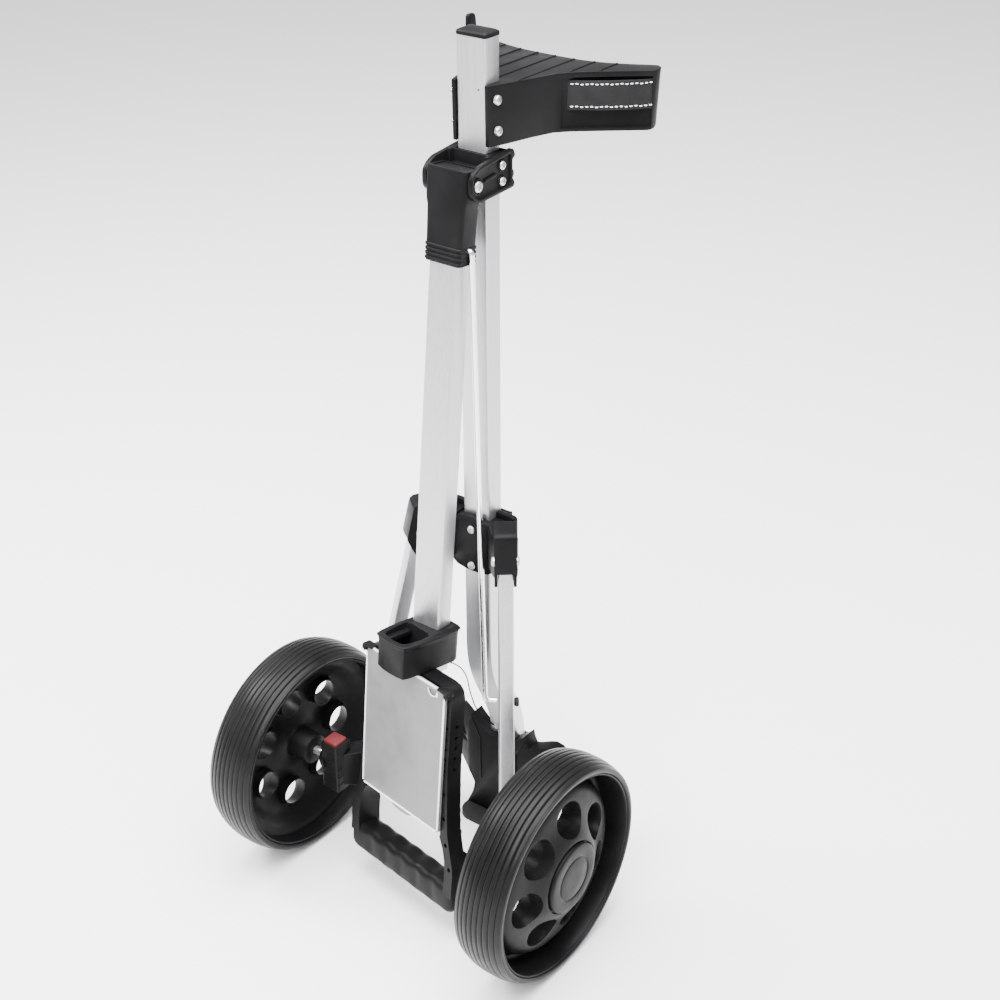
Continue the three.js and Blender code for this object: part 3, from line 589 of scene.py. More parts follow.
def main_tube():
    low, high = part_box("main_tube")
    cap_low, cap_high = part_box("top_cap")
    top_y = (cap_low.y + cap_high.y) / 2 / MM
    foot_y = high.y / MM - TUBE_D / 2
    bend_top, bend_low = 322, 122

    def centre(z):
        k = min(max((bend_top - z) / (bend_top - bend_low), 0), 1)
        return top_y + (foot_y - top_y) * k ** 3 * (k * (6 * k - 15) + 10)

    bend = [bend_low + (bend_top - bend_low) * i / 28 for i in range(29)]
    bm = tube(TUBE_W / 2, TUBE_D / 2, TUBE_R, TUBE_WALL, [low.z / MM, *bend, 600, high.z / MM], centre)
    pilot = rod(1.3, top_y - 16, top_y - 6, 16, "y", (10, 1034))
    look("main_tube", boolean(bm, [pilot]))


def handle_tube():
    bm = tube(TUBE_W / 2, TUBE_D / 2, TUBE_R, TUBE_WALL, [-606, -420, -220, -26])
    look("handle_tube", bm, HANDLE)


def top_cap():
    """Domed cap that overhangs the tube a little, with a shallow rim."""
    low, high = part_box("top_cap")
    bm = bmesh.new()
    rings = []
    for inset, z in ((1.6, 1089.2), (0.1, 1089.4), (0, 1090.2), (0, 1092.4), (0.5, 1093.5), (1.8, 1094.4),
                     (4.5, 1095.6), (8.5, 1096.6), (11.2, 1097)):
        rings.append([bm.verts.new((u, v, z)) for u, v in
                      rounded(TUBE_W / 2 + 1 - inset, TUBE_D / 2 + 1 - inset, max(4 - inset * 0.3, 1.2), 5)])
    loft(bm, rings)
    place = Matrix.Translation((0, (low.y + high.y) / 2, high.z - 1097 * MM))
    look("top_cap", bm, place, smooth=50)


main_tube()
handle_tube()
top_cap()


# ------------------------------------------------------------------ screws
def screw_head(radius, height, cross=0.55):
    """A pan head with a cross recess, standing on the plane z = 0."""
    dome = [(0, -1.5), (radius, -1.5), (radius, height * 0.35), (radius * 0.93, height * 0.68),
            (radius * 0.72, height * 0.92), (radius * 0.4, height), (0, height)]
    arm, width = radius * cross, radius * 0.13
    slots = [block(-arm, arm, -width, width, height * 0.35, height + 2),
             block(-width, width, -arm, arm, height * 0.35, height + 2)]
    return boolean(lathe(dome, 28, "z"), slots)


def bolt(node, radius, place, half, shank=3.0, spin=0.4):
    """A through bolt along Z with a cross-recessed head on both ends; half is half its length."""
    seat = half - 3.5
    parts = [rod(shank, -seat - 0.2, seat + 0.2, 20, "z")]
    for index, flip in enumerate((0, math.pi)):
        head = screw_head(radius, 3.3)
        turn = Matrix.Rotation(spin + index, 4, "Z")
        bmesh.ops.transform(head, matrix=Matrix.Rotation(flip, 4,
                                                         "X") @ Matrix.Translation((0, 0, seat)) @ turn,
                            verts=head.verts)
        parts.append(head)
    look(node, merged(*parts), place)


def bolt_across(node, radius, shank=3.0, spin=0.4):
    """A bolt that runs along the cart's X or Y, whichever its CAD node is longer in."""
    low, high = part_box(node)
    size = high - low
    axis = "Y" if size.x > size.y else "X"
    place = Matrix.Translation((low + high) / 2) @ Matrix.Rotation(math.pi / 2, 4, axis)
    bolt(node, radius, place, max(size.x, size.y) / 2 / MM, shank, spin)


# ------------------------------------------------------------------ upper bag cradle
def mirror(half):
    """A closed outline from its right half, listed from the middle outwards and back."""
    return [*half, *[(-u, v) for u, v in reversed(half)]]


BACK = [(24.8, 124.5), (27, 131), (33, 148), (45, 181), (54, 209), (67, 225), (88, 243), (131.5, 279.5)]
TIP = [(134, 283.5), (133.9, 291), (130.5, 299), (125.5, 302)]
BAG_SIDE = [(119, 299), (106, 292), (90, 284), (76, 278), (62, 273.6), (45, 270.4), (30, 269), (14, 268.6)]


def cradle_ring(bm, z, inset):
    """The cradle's outline at one height, drawn in by a few millimetres."""
    half = [*BACK, *TIP, *BAG_SIDE]
    middle = Vector((0, 200))
    out = []
    for u, v in mirror(half):
        towards = (middle - Vector((u, v))).normalized() * inset
        keep = 0.25 if abs(u) < 35 and v < 160 else 1
        out.append(bm.verts.new((u + towards.x * keep, v + towards.y * keep, z)))
    return out


BAG_EDGE = [*reversed(BAG_SIDE), TIP[-1]]


def wall_at(edge, x):
    """The Y of a wall at a distance from the centre plane, or of its end beyond it."""
    x = max(x, edge[0][0])
    for (u0, v0), (u1, v1) in zip(edge, edge[1:]):
        if u0 <= x <= u1:
            return v0 + (v1 - v0) * (x - u0) / (u1 - u0)
    return edge[-1][1]


WALL_A, WALL_B = Vector((68, 225.8)), Vector((131, 279.0))      # the horn's flat outer wall, in plan
WALL_DIR = (WALL_B - WALL_A).normalized()
WALL_OUT = Vector((WALL_DIR.y, -WALL_DIR.x))


def wall_point(along, out):
    """A place on the right horn's outer wall: along it from its start, and out from it."""
    return WALL_A + WALL_DIR * along + WALL_OUT * out


def upper_cradle():
    bm = bmesh.new()
    rings = [cradle_ring(bm, z, inset) for z, inset in
             ((973.7, 4.2), (975.5, 3.2), (1012, 1.4), (1031, 0.6), (1038, 0.0), (1039.9, 0.2),
              (1040.5, 1.2))]
    loft(bm, rings)
    tools = [block(-ROOM_W, ROOM_W, 90, 152.4, 960, 1050)]
    under = [(26, 160), (34, 166), (38, 186), (46, 212), (59, 232), (82, 252), (117, 283), (117, 288),
             (90, 276), (62, 266), (30, 262)]
    tools.append(prism(mirror(under), 960, 1035))
    floor = [wall_point(84, 8), wall_point(84, -4.4), wall_point(2, -4.4), (54.2, 216), (64, 208),
             wall_point(0, 8)]
    for sign in (1, -1):
        tools.append(prism([(sign * p[0], p[1]) for p in floor], 978, 1034.5))
    body = boolean(bm, tools)
    soften(body, 0.9, 2, 35)
    details = []
    for x in (12, 37, 62, 86):
        for sign in (1, -1):
            start = wall_at(BACK, x) + 5.5 if x > 30 else 158
            end = wall_at(BAG_EDGE, x) - 3.2
            rib = prism([(-0.9, 1039.6), (0.9, 1039.6), (0.75, 1041.2), (0, 1041.7), (-0.75, 1041.2)], start,
                        end, "y")
            bmesh.ops.translate(rib, verts=rib.verts, vec=(sign * x, 0, 0))
            details.append(rib)
            for y in (start, end - 1.2):
                details.append(ball(1.9, (0.85, 1.1, 0.75), (sign * x, y, 1040.6), 14, 8))
    look("upper_cradle", merged(body, *details), CART)


STRAP_LOW, STRAP_HIGH = 998, 1031
STRAP_START, STRAP_END = -11, 88


def strap_out(along):
    """How far the slack webbing stands off the wall: it bulges between its two ends."""
    t = min(max((along - STRAP_START) / (STRAP_END - STRAP_START), 0), 1)
    return -4.6 + 6.4 * math.sin(math.pi * t) ** 0.6


def horn_strap(side):
    sign = SIDES[side]
    middle = (STRAP_LOW + STRAP_HIGH) / 2
    bm = bmesh.new()
    rings = []
    count = 40
    for i in range(count + 1):
        a = STRAP_START + (STRAP_END - STRAP_START) * i / count
        wave = 0.5 * math.sin(a * 0.21)
        ring = []
        for u, z in rounded(0.85, (STRAP_HIGH - STRAP_LOW) / 2, 0.6, 2):
            p = wall_point(a, strap_out(a) + u + wave * z / 32)
            ring.append(bm.verts.new((sign * p.x, p.y, middle + z)))
        rings.append(ring)
    loft(bm, rings)
    look(f"horn_strap_{side}", bm, CART, smooth=60)
    stitches = []
    dashes = 17
    for row in (-12.5, 12.5):
        for k in range(dashes):
            a = -4.5 + 87 * k / (dashes - 1)
            z = middle + row + 0.35 * math.sin(k * 2.1 + row)
            stitch = bmesh.new()
            ends = []
            for t in (-1, -0.6, 0, 0.6, 1):
                at = a + 1.7 * t
                lift = 0.55 * (1 - t * t) + 0.75
                centre = wall_point(at, strap_out(at) + lift + 0.5 * math.sin(at * 0.21) * row / 32)
                half = 0.68 * (1 - 0.45 * abs(t) ** 3)
                ring = []
                for m in range(8):
                    w = 2 * math.pi * m / 8
                    q = centre + WALL_OUT * (0.38 * math.cos(w))
                    ring.append(stitch.verts.new((sign * q.x, q.y, z + half * math.sin(w))))
                ends.append(ring)
            stitches.append(loft(stitch, ends))
    piece(f"strap_stitches_{side}", merged(*stitches), "strap_webbing", "frame",
          CART).data.materials[0] = THREAD


def strap_hook():
    """Flat tab with a rolled end that stands at the left horn's tip."""
    low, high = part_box("strap_hook")
    x0, x1, y0, y1, z0, z1 = (v / MM for v in (low.x, high.x, low.y, high.y, low.z, high.z))
    side = round_corners([(y0, z0, 0), (y1, z0, 0), (y1 - 1.5, z1 - 6, 5), (y1 - 4, z1, 3), (y0 + 1, z1, 4),
                          (y0 + 0.5, z1 - 8, 3)], 3)
    soft = soften(prism(side, x0, x1, "x"), 1.1, 3)
    look("strap_hook", soft)


THREAD = moulded("thread", (0.78, 0.78, 0.77), 0.8, grain=2500)
upper_cradle()
for side in SIDES:
    horn_strap(side)
strap_hook()
bolt_across("upper_cradle_bolt_1", 5.4)
bolt_across("upper_cradle_bolt_2", 5.4, spin=0.9)


# ------------------------------------------------------------------ hinge bracket
def bracket_cheek(sign):
    """One cheek: a plate with a raised rim, a middle rib and bosses under its screws."""
    back, top, low = 82, 961, 921
    outline = round_corners([(96, top + 0.5, 14), (157, 967, 3), (161, 958.5, 3), (155.5, 955, 2),
                             (155.5, 944, 2),
                             (158, 941, 2), (158, 937, 2), (155.5, 934, 2), (160, 927.5, 3), (157, 923, 3),
                             (96, low, 14), (back, 930, 12), (back, 952, 12)], 8, 6)
    recess = round_corners([(97, top - 3.6, 10), (152, 962.5, 3), (152, 928, 3), (97, low + 3.8, 10),
                            (86, 931, 9),
                            (86, 951, 9)], 6, 6)
    lo, hi = sorted((sign * 28.3, sign * 34.4))
    base = prism(outline, lo, hi, "x")
    r_lo, r_hi = sorted((sign * 31.4, sign * 40))
    body = boolean(base, [prism(recess, r_lo, r_hi, "x")])
    soften(body, 0.8, 2, 35)
    face = sign * 31.2
    parts = [body]
    rib = round_corners([(107, 944.5), (128, 946.5), (128, 943.2), (107, 941.2)], 1.2, 3)
    parts.append(soften(prism(rib, *sorted((face, sign * 33.3)), "x"), 0.5, 2))
    for y, z, r in ((94, 940, 9.2), (138, 952.5, 6.4), (138, 934.5, 6.4)):
        rim = [(0, face), (r + 0.8, face), (r, sign * 33.2), (r - 1.1, sign * 33.6), (r - 2.4, sign * 32.4),
               (0, sign * 32.4)]
        parts.append(lathe(rim, 32, "x", (y, z)))
    return parts


def hinge_bracket():
    parts = [*bracket_cheek(1), *bracket_cheek(-1)]
    middle = boolean(block(-29, 29, 118.5, 156, 927, 965), [
        tube_room(900, 990),
        block(-24, 24, 110, 125, 950, 990)])
    parts.append(soften(middle, 0.9, 2, 35))
    look("hinge_bracket", merged(*parts), CART)


hinge_bracket()
bolt_across("hinge_bracket_bolt_1", 4.9)
bolt_across("hinge_bracket_bolt_2", 4.9, spin=1.1)
bolt_across("handle_pivot_pin", 6.4, 4.0, spin=0.9)


# ------------------------------------------------------------------ handle sleeve
def handle_sleeve():
    """Square sleeve that narrows below the knuckle, with four ridges above a scalloped edge."""
    bm = bmesh.new()
    rings = []
    for z, half_u, half_v, centre in ((16.5, 26.6, 13.0, -1.2), (16.0, 27.6, 14.2, -1.2),
                                      (13, 28.0, 15.0, -0.8),
                                      (-16, 28.0, 15.4, 0), (-22, 27.2, 15.4, 0), (-28, 25.8, 15.3, 0),
                                      (-60, 24.9, 15.3, 0), (-69, 24.8, 15.3, 0)):
        rings.append([bm.verts.new((u, v + centre, z)) for u, v in rounded(half_u, half_v, 5, 5)])
    ridge_top, pitch = -69.5, 5.2
    for k in range(4):
        z = ridge_top - k * pitch
        for dz, grow in ((0.4, 0), (-0.6, 1.3), (-2.6, 1.3), (-3.6, 0.1), (-4.4, 0.1)):
            rings.append([bm.verts.new((u, v, z + dz)) for u,
                          v in rounded(24.8 + grow, 15.3 + grow, 5 + grow, 5)])
    rings.append([bm.verts.new((u, v, -88 + (0 if abs(u) > 13
                                             else 1.6 * math.cos(u / 13 * math.pi / 2) ** 2)))
                  for u, v in rounded(24.4, 15.0, 5, 5)])
    loft(bm, rings)
    tools = [prism(rounded(ROOM_W, ROOM_D, TUBE_R, 4), -100, -25),
             block(-22, 22, -11.5, 9.5, 15.3, 30)]
    tools.append(rod(3.9, 15, 40, 24, "x", (0, -72.5)))
    tools.append(block(25.3, 40, -20, 20, -95, -62))
    body = boolean(bm, tools)
    look("handle_sleeve", body, HANDLE, smooth=40)


handle_sleeve()


# ------------------------------------------------------------------ grip head
def head_yoke():
    """Cup in front of the handle tube, with a flared rim, that clamps round the tube behind."""
    bm = bmesh.new()
    rings = []

    def ring(z, grow, front):
        half = [(-23 - grow * 0.8, -34 - grow), (-14, -36 - grow - front * 0.6), (0, -37 - grow - front),
                (14, -36 - grow - front * 0.6), (23 + grow * 0.8, -34 - grow), (25.2 + grow, -26),
                (27 + grow, 0),
                (27 + grow, 45), (24 + grow, 51 + grow), (20, 53 + grow), (-22, 53 + grow),
                (-25.5 - grow, 51 + grow),
                (-27 - grow, 45), (-27 - grow, 0), (-25.2 - grow, -26)]
        return [bm.verts.new((u, v, z)) for u, v in half]

    for z, grow, front in ((-588, -0.8, 0), (-587, 0, 0), (-552, 0.2, 0.6), (-547.5, 0.6, 1.2),
                           (-546, 2.0, 1.8),
                           (-543.6, 2.2, 2), (-543, 1.4, 2)):
        rings.append(ring(z, grow, front))
    loft(bm, rings)
    pocket = round_corners([(-18.5, -30, 6), (0, -33.5, 12), (18.5, -30, 6), (21.5, -6, 3), (19.5, 9, 3),
                            (-22.5, 9, 3),
                            (-21.5, -6, 3)], 4, 4)
    to_head = HEAD_MM.inverted() @ HANDLE_MM
    through = prism(rounded(ROOM_W, ROOM_D, TUBE_R, 4), -630, -500)
    bmesh.ops.transform(through, matrix=to_head, verts=through.verts)
    body = boolean(bm, [prism(pocket, -582, -530), through])
    soften(body, 0.8, 2, 40)
    lip = soften(block(-17, 15, 9.2, 11.6, -560, -541.4), 0.7, 2)
    ledge = soften(block(-21, -12, -28, 8, -556, -549), 1.0, 2)
    look("head_yoke", merged(body, lip, ledge), HEAD)


HEAD_TOP, HEAD_LOW = -588.4, -908
SIDE_BAR = [(62, HEAD_TOP), (70, -589.9), (75.8, -594.4), (79, -604.4), (79, -700), (80.2, -728), (82, -760),
            (85, -790), (89.5, -808), (94, -823.5), (97, -834), (98, -845), (98, -896), (97.2, -901),
            (95, -904.8),
            (91.5, -907.3), (87, HEAD_LOW)]


def grip_profile(z):
    """Half width of the grip frame at a height on the head."""
    for (w0, z0), (w1, z1) in zip(SIDE_BAR, SIDE_BAR[1:]):
        if z0 >= z >= z1:
            return w0 + (w1 - w0) * (z0 - z) / (z0 - z1)
    return SIDE_BAR[-1][0]


def grip_bar():
    """The deep bar at the head's end, swelling gently between the fingers, dimpled in front."""
    bm = bmesh.new()
    rings = []
    for i in range(67):
        x = 97.9 * math.sin(math.pi / 2 * (i - 33) / 33) if abs(i - 33) > 29 else (i - 33) * 3.315
        corner = max(0.0, (abs(x) - 84) / 14)
        inset = 12 * (1 - math.sqrt(max(0.0, 1 - corner ** 2)))
        swell = 0.5 + 0.5 * math.cos(2 * math.pi * x / 30)
        dip = 1.9 * sum(math.exp(-((x - at) / 6.5) ** 2) for at in (-60, -30, 0, 30, 60))
        ring = []
        for y, z in rounded(17.2 - inset * 0.3, 20.6, 10.5 - inset * 0.3, 7):
            front = max(0.0, -y / 17.2) ** 3 * max(0.0, 1 - (z / 17) ** 2)
            low = (20.6 - inset) / 20.6 * (1 - 0.04 * (1 - swell)) if z < 0 else 1 - 0.09 * (1 - swell)
            ring.append(bm.verts.new((x, 12.6 + y + dip * front, -887.4 + z * low)))
        rings.append(ring)
    return loft(bm, rings)


def grip_frame():
    """Tray behind the card, side bars with tee and pencil holes, and the arms down to the bar."""
    outline = [*SIDE_BAR, *[(-u, v) for u, v in reversed(SIDE_BAR)]]
    section = [(-4.9, -824), (-4.9, -894), (-3.6, -901), (0, -906), (5, -909), (22, -909), (26.5, -906),
               (29.2, -901),
               (30, -894), (30, -838), (27, -828), (17, -818), (10, -816)]
    deep = boolean(prism(section, -110, 110, "x"), [prism(outline, -20, 50, "y")], "INTERSECT")
    bm = boolean(prism(outline, -5, 17.5, "y"), [deep], "UNION")
    tray = [(68, -604), (68, -700), (70, -760), (72, -800), (-72, -800), (-70, -760), (-68, -700),
            (-68, -604)]
    corner = [(82.6, -872), (83.4, -858), (83, -842), (81.6, -828), (78, -814), (71.5, -800.5), (62, -790),
              (50, -781.5), (38, -776)]
    opening = [*[(-u, v) for u, v in corner], *reversed(corner), (82, -880), (110, -880), (110, -920),
               (-110, -920),
               (-110, -880), (-82, -880)]
    tools = [prism(round_corners(tray, 5, 4), -10, 8, "y"), prism(opening, -40, 60, "y")]
    for z in (-618, -641, -657, -671, -686, -702, -735, -770, -806, -838):
        x = grip_profile(z) - 6.2
        radius, depth = (2.9, 4) if z < -620 else (2.2, 40)
        tools.append(rod(radius, -20, depth, 18, "y", (x, z)))
    body = boolean(bm, tools)
    soften(body, 1.8, 3, 40)
    holes = []
    for z in (-641, -657, -671, -686, -702):
        half = grip_profile(z)
        for sign in (1, -1):
            holes.append(rod(2.6, sign * (half - 4), sign * (half + 6), 18, "x", (6.5, z)))
    body = boolean(body, holes)
    bumps = [ball(1, (5, 7.5, 7.5), (grip_profile(z) - 6, 15, z), 16, 10) for z in (-731, -745, -767, -781,
                                                                                    -797)]
    look("grip_frame", merged(body, grip_bar(), *bumps), HEAD)


CARD_Y, CARD_HALF, CARD_TOP, CARD_LOW = -7.4, 72.7, -598, -791


def card_outline(half, top, low, radius):
    return round_corners([(-half, low), (half, low), (half, top), (-half, top)], radius, 5)


def card_back_plate():
    """The sheet behind the cover, with a rounded pull tab below its edge."""
    plate = soften(prism(card_outline(CARD_HALF, CARD_TOP, CARD_LOW, 3), CARD_Y, CARD_Y + 1.9, "y"), 0.4, 2)
    tab = [(-24, CARD_LOW + 3), (-21, CARD_LOW - 3), (-13, CARD_LOW - 7.5), (0, CARD_LOW - 9),
           (13, CARD_LOW - 7.5),
           (21, CARD_LOW - 3), (24, CARD_LOW + 3)]
    tab = spline(tab, 4, closed=False)
    pull = soften(prism(tab, CARD_Y + 0.2, CARD_Y + 1.6, "y"), 0.4, 2)
    piece("card_back_look", merged(plate, pull), "card_plastic", "handle", HEAD, ("card_back_plate",))


def card_cover():
    """Clear cover on the sheet: raised lips on its edges and a half-round notch for a finger."""
    y = CARD_Y - 0.35
    notch_z = -597.5
    outline = card_outline(CARD_HALF, -589.6, CARD_LOW, 4)
    notch = rod(7.2, y - 9, y + 4, 36, "y", (50, notch_z))
    cutter = boolean(notch, [block(38, 62, y - 12, y + 6, notch_z, -580)])
    plate = soften(boolean(prism(outline, y - 1.7, y, "y"), [cutter]), 0.35, 2)
    look("card_cover", plate, HEAD)
    lips = []
    for x0, x1, z0, z1 in ((CARD_HALF - 2.4, CARD_HALF, CARD_LOW + 3, -600),
                           (-CARD_HALF, -CARD_HALF + 1.6, CARD_LOW + 3, -600),
                           (-CARD_HALF + 3, CARD_HALF - 3, CARD_LOW, CARD_LOW + 1.8),
                           (-CARD_HALF + 10, CARD_HALF - 10, -591.6, -589.8)):
        lips.append(soften(block(x0, x1, y - 3.0, y - 1.2, z0, z1), 0.5, 2))
    rim = [(7.2, y - 2.1), (8.6, y - 2.1), (8.6, y - 1.4), (7.2, y - 1.4)]
    lips.append(boolean(lathe(rim, 36, "y", (50, notch_z)),
                        [block(38, 62, y - 12, y + 6, notch_z + 0.6, -580)]))
    lips.append(soften(block(57.6, 59.2, y - 2.6, y - 1.2, -604, -597), 0.4, 2))
    # the lips take a near-white colour: a painted highlight along the clear cover's edges
    piece("card_cover_lips", merged(*lips), "card_plastic", "card_cover", HEAD).data.materials[0] = CARD_EDGE_HIGHLIGHT


def card_clips():
    """Black pegs that hold the cover's hinge at the two top corners."""
    parts = []
    for sign in (1, -1):
        arm = round_corners([(sign * 60, -588.5), (sign * 78, -588.5), (sign * 80, -594), (sign * 77, -599),
                             (sign * 73.6, -599), (sign * 72.6, -592.5), (sign * 60, -591.6)], 2, 4)
        parts.append(soften(prism(arm, -12.6, -2, "y"), 0.8, 2))
        parts.append(lathe([(0, sign * 72), (3.6, sign * 72), (4.1, sign * 73), (4.1, sign * 78.4),
                            (3.4, sign * 79.4),
                            (0, sign * 79.6)], 24, "x", (-9.2, -594.5)))
    piece("card_clips", merged(*parts), "black_plastic", "handle", HEAD)


# near-white colour for the clear cover's lips: a painted highlight where their edges catch the light
CARD_EDGE_HIGHLIGHT = principled("card_edge_highlight", (0.86, 0.865, 0.87), 0.3)[0]
head_yoke()
grip_frame()
card_back_plate()
card_cover()
card_clips()


# ------------------------------------------------------------------ hub
LEG_HALF, LEG_ROOM = 9.6, 9.8                       # half width of a leg's tube, and of its hole


def leg_socket(side):
    """The cup at the top of a leg: a front plate with a rounded brow and two pointed cheeks."""
    profile = round_corners([(-15.6, 37, 7), (14, 47, 3), (14, -4, 6), (7.5, -33, 2), (0, -33, 2),
                             (-15.6, -12, 5)],
                            3, 5)
    shell = prism(profile, -13.6, 13.6, "x")
    room = block(-LEG_ROOM, LEG_ROOM, -12.9, 30, -140, 33)
    front_gap = block(-LEG_ROOM, LEG_ROOM, -30, -10, -60, -12)
    cup = soften(boolean(shell, [room, front_gap]), 0.9, 3, 35)
    ridge = [(-11.8, 33.5), (11.8, 33.5), (11.8, 34.3), (-11.8, 34.3)]
    brow = soften(prism(ridge, -16.0, -15.0, "y"), 0.3, 2)
    out = merged(cup, brow)
    mm_frame = cart_leg_frame(side)
    bmesh.ops.transform(out, matrix=mm_frame, verts=out.verts)
    return out


def hub_wing(sign):
    """The web from the clamp's front plate out to a socket, with a top that falls outwards."""
    plan = [(24, 117.5), (44, 101), (50, 97), (72, 114), (68, 121), (50, 139), (24, 139)]
    bm = bmesh.new()
    rings = []
    for top in (False, True):
        rings.append([bm.verts.new((sign * x, y, (507 - 0.12 * (x - 24)) if top else 446 + 0.1 * (x - 24)))
                      for x, y in plan])
    return loft(bm, rings)


def hub_front():
    half = [(0, 508.6), (12, 507.8), (22, 505.2), (30, 500), (30, 438.5), (24, 434), (12, 431.4), (0, 430.9)]
    plate = boolean(prism(mirror(half), 117, 139.2, "y"), [tube_room(400, 560)])
    parts = [soften(plate, 1.4, 3, 35)]
    shield_half = [(0, 503.5), (14, 502), (24, 497), (24, 443.5), (14, 437.5), (0, 436)]
    parts.append(soften(prism(mirror(shield_half), 116.2, 118, "y"), 0.7, 2))
    for side, sign in SIDES.items():
        mm_frame = cart_leg_frame(side)
        room = block(-LEG_ROOM, LEG_ROOM, -12.9, 26, -140, 34)
        bmesh.ops.transform(room, matrix=mm_frame, verts=room.verts)
        parts.append(soften(boolean(hub_wing(sign), [tube_room(400, 560), room]), 1.2, 3, 35))
        parts.append(leg_socket(side))
    look("hub_front", merged(*parts), CART)


def hub_rear():
    """The rear half of the clamp: a ribbed block and a cross plate behind the sockets."""
    half = [(0, 508), (30, 508), (30, 431), (0, 431)]
    block_part = boolean(prism(mirror(half), 139.8, 158.5, "y"), [tube_room(400, 560)])
    parts = [soften(block_part, 1.4, 3, 35)]
    wings = round_corners([(-48, 512), (48, 512), (48, 470), (34, 452), (-34, 452), (-48, 470)], 6, 5)
    plate = boolean(prism(wings, 139.8, 147.6, "y"), [tube_room(400, 560)])
    parts.append(soften(plate, 1.0, 2, 35))
    for z in (441, 458, 474, 491, 503):
        parts.append(soften(block(-28, 28, 157.5, 161.6, z - 1.4, z + 1.4), 0.6, 2))
    for x in (-28, 0, 28):
        parts.append(soften(block(x - 1.3, x + 1.3, 157.5, 161.6, 434, 506), 0.5, 2))
    look("hub_rear", merged(*parts), CART)


hub_front()
hub_rear()
bolt_across("hub_screw_1", 5.2, spin=0.5)
bolt_across("hub_screw_2", 5.2, spin=1.2)


# ------------------------------------------------------------------ legs and axle blocks
def leg(side):
    place = leg_frame(side)
    bm = tube(LEG_HALF, LEG_HALF, 3, 1.8, [-366, -240, -120, 13])
    look(f"leg_tube_{side}", bm, place)
    across = Matrix.Rotation(math.pi / 2, 4, "Y")
    bolt(f"leg_pivot_pin_{side}", 6.2, place @ across, LEG_HALF + 4 + 0.35 + 3.5, 4.0, 0.3)
    low = Matrix.Translation((0, 0, -352 * MM))
    bolt(f"leg_screw_{side}", 4.2, place @ low @ across, LEG_HALF + 3.6 + 0.35 + 3.5, 2.5, 0.8)
    knob = lathe([(0, 9.8), (5.0, 9.8), (5.4, 10.6), (5.0, 11.6), (6.0, 12.6), (6.0, 14.2), (4.9, 15.5),
                  (2.6, 15.95), (0, 15.95)], 28, "x", (0, -182))
    turn = place if side == "right" else place @ Matrix.Rotation(math.pi, 4, "Z")
    look(f"leg_bumper_{side}", knob, turn)


BLOCK_X = 140                                       # an axle block's middle, from the centre plane


def axle_block(side):
    """Upright block with a ridged front corner, a boss round the axle and an arm up the leg."""
    sign, c = SIDES[side], BLOCK_X
    mm_frame = cart_leg_frame(side)
    main = prism(rounded(14, 14, 3, 4, (sign * c, 0)), 104, 176)
    pocket = prism(rounded(11.4, 11.4, 2.6, 3, (sign * c, 0)), 160.2, 190)
    stem_room = rod(4.9, 151, 165, 24, "z", (sign * c, 0))
    arm = block(-13.2, 13.2, -40, 13.2, -386, -326)
    bmesh.ops.transform(arm, matrix=mm_frame, verts=arm.verts)
    keep = block(*sorted((sign * 60, sign * (c + 14))), -14, 60, 106, 159)
    arm = boolean(arm, [keep], "INTERSECT")
    room = block(-LEG_ROOM, LEG_ROOM, -LEG_ROOM, LEG_ROOM, -366.2, 0)
    bmesh.ops.transform(room, matrix=mm_frame, verts=room.verts)
    parts = [soften(boolean(main, [pocket, stem_room]), 0.8, 2, 35), soften(boolean(arm, [room]), 1.2, 3, 35)]
    for z in (112, 124, 136, 148, 160):
        # a ring, not a slab: the pocket and the stem's room stay open
        ridge = soften(prism(rounded(14.2, 14.2, 3.2, 4, (sign * c, 0)), z, z + 5.6), 1.0, 2, 60)
        core = prism(rounded(12.6, 12.6, 2.8, 4, (sign * c, 0)), z - 1, z + 7)
        parts.append(boolean(ridge, [core]))
    boss = [(9, c + 8), (16.5, c + 8), (16.5, c + 14), (13, c + 19), (9, c + 19)]
    boss = [(r, sign * along) for r, along in boss]
    parts.append(lathe(boss, 40, "x", (0, 144.5)))
    for x, z in ((c - 7, 127), (c - 7, 116)):
        stud = lathe([(0, -14.6), (2.0, -14.6), (1.6, -15.4), (0, -15.4)], 16, "y", (sign * x, z))
        parts.append(stud)
    look(f"axle_block_{side}", merged(*parts), CART)


def release_button(side):
    c = SIDES[side] * BLOCK_X
    cap = soften(prism(rounded(10.9, 10.9, 2.6, 5, (c, 0)), 168.2, 180), 1.1, 3, 50)
    stem = rod(4.4, 155, 169, 24, "z", (c, 0))
    turns, wire = 3, 0.6
    coil = [(c + 7.2 * math.cos(a), 7.2 * math.sin(a), 161 + 3.2 * a / (2 * math.pi * turns))
            for a in (2 * math.pi * k / 20 for k in range(20 * turns + 1))]
    look(f"button_spring_{side}", sweep(coil, wire, 8), CART, smooth=60)
    look(f"release_button_{side}", merged(cap, stem), CART)


for side in SIDES:
    leg(side)
    axle_block(side)
    release_button(side)


# ------------------------------------------------------------------ stay rod
def stay_rod():
    """Hooked into the sleeve at the top, straight down the tube's side, turned out at the foot."""
    route = [(20.4, 87.1, 867.9), (24.6, 87.1, 867.9), (26.9, 87.1, 867.2), (28.4, 87.2, 865.4),
             (29, 87.3, 862.5),
             (29, 88, 838), (29, 91, 720), (29, 95, 560), (29, 99.5, 400), (29, 102.8, 268),
             (29.2, 103.1, 262),
             (30.4, 103.8, 257.8), (33, 105.4, 256), (37, 107.8, 256), (42, 110.7, 256)]
    bar = sweep(spline(route, 5, closed=False), 3.4, 24)
    look("stay_rod", bar, CART, smooth=60)


stay_rod()


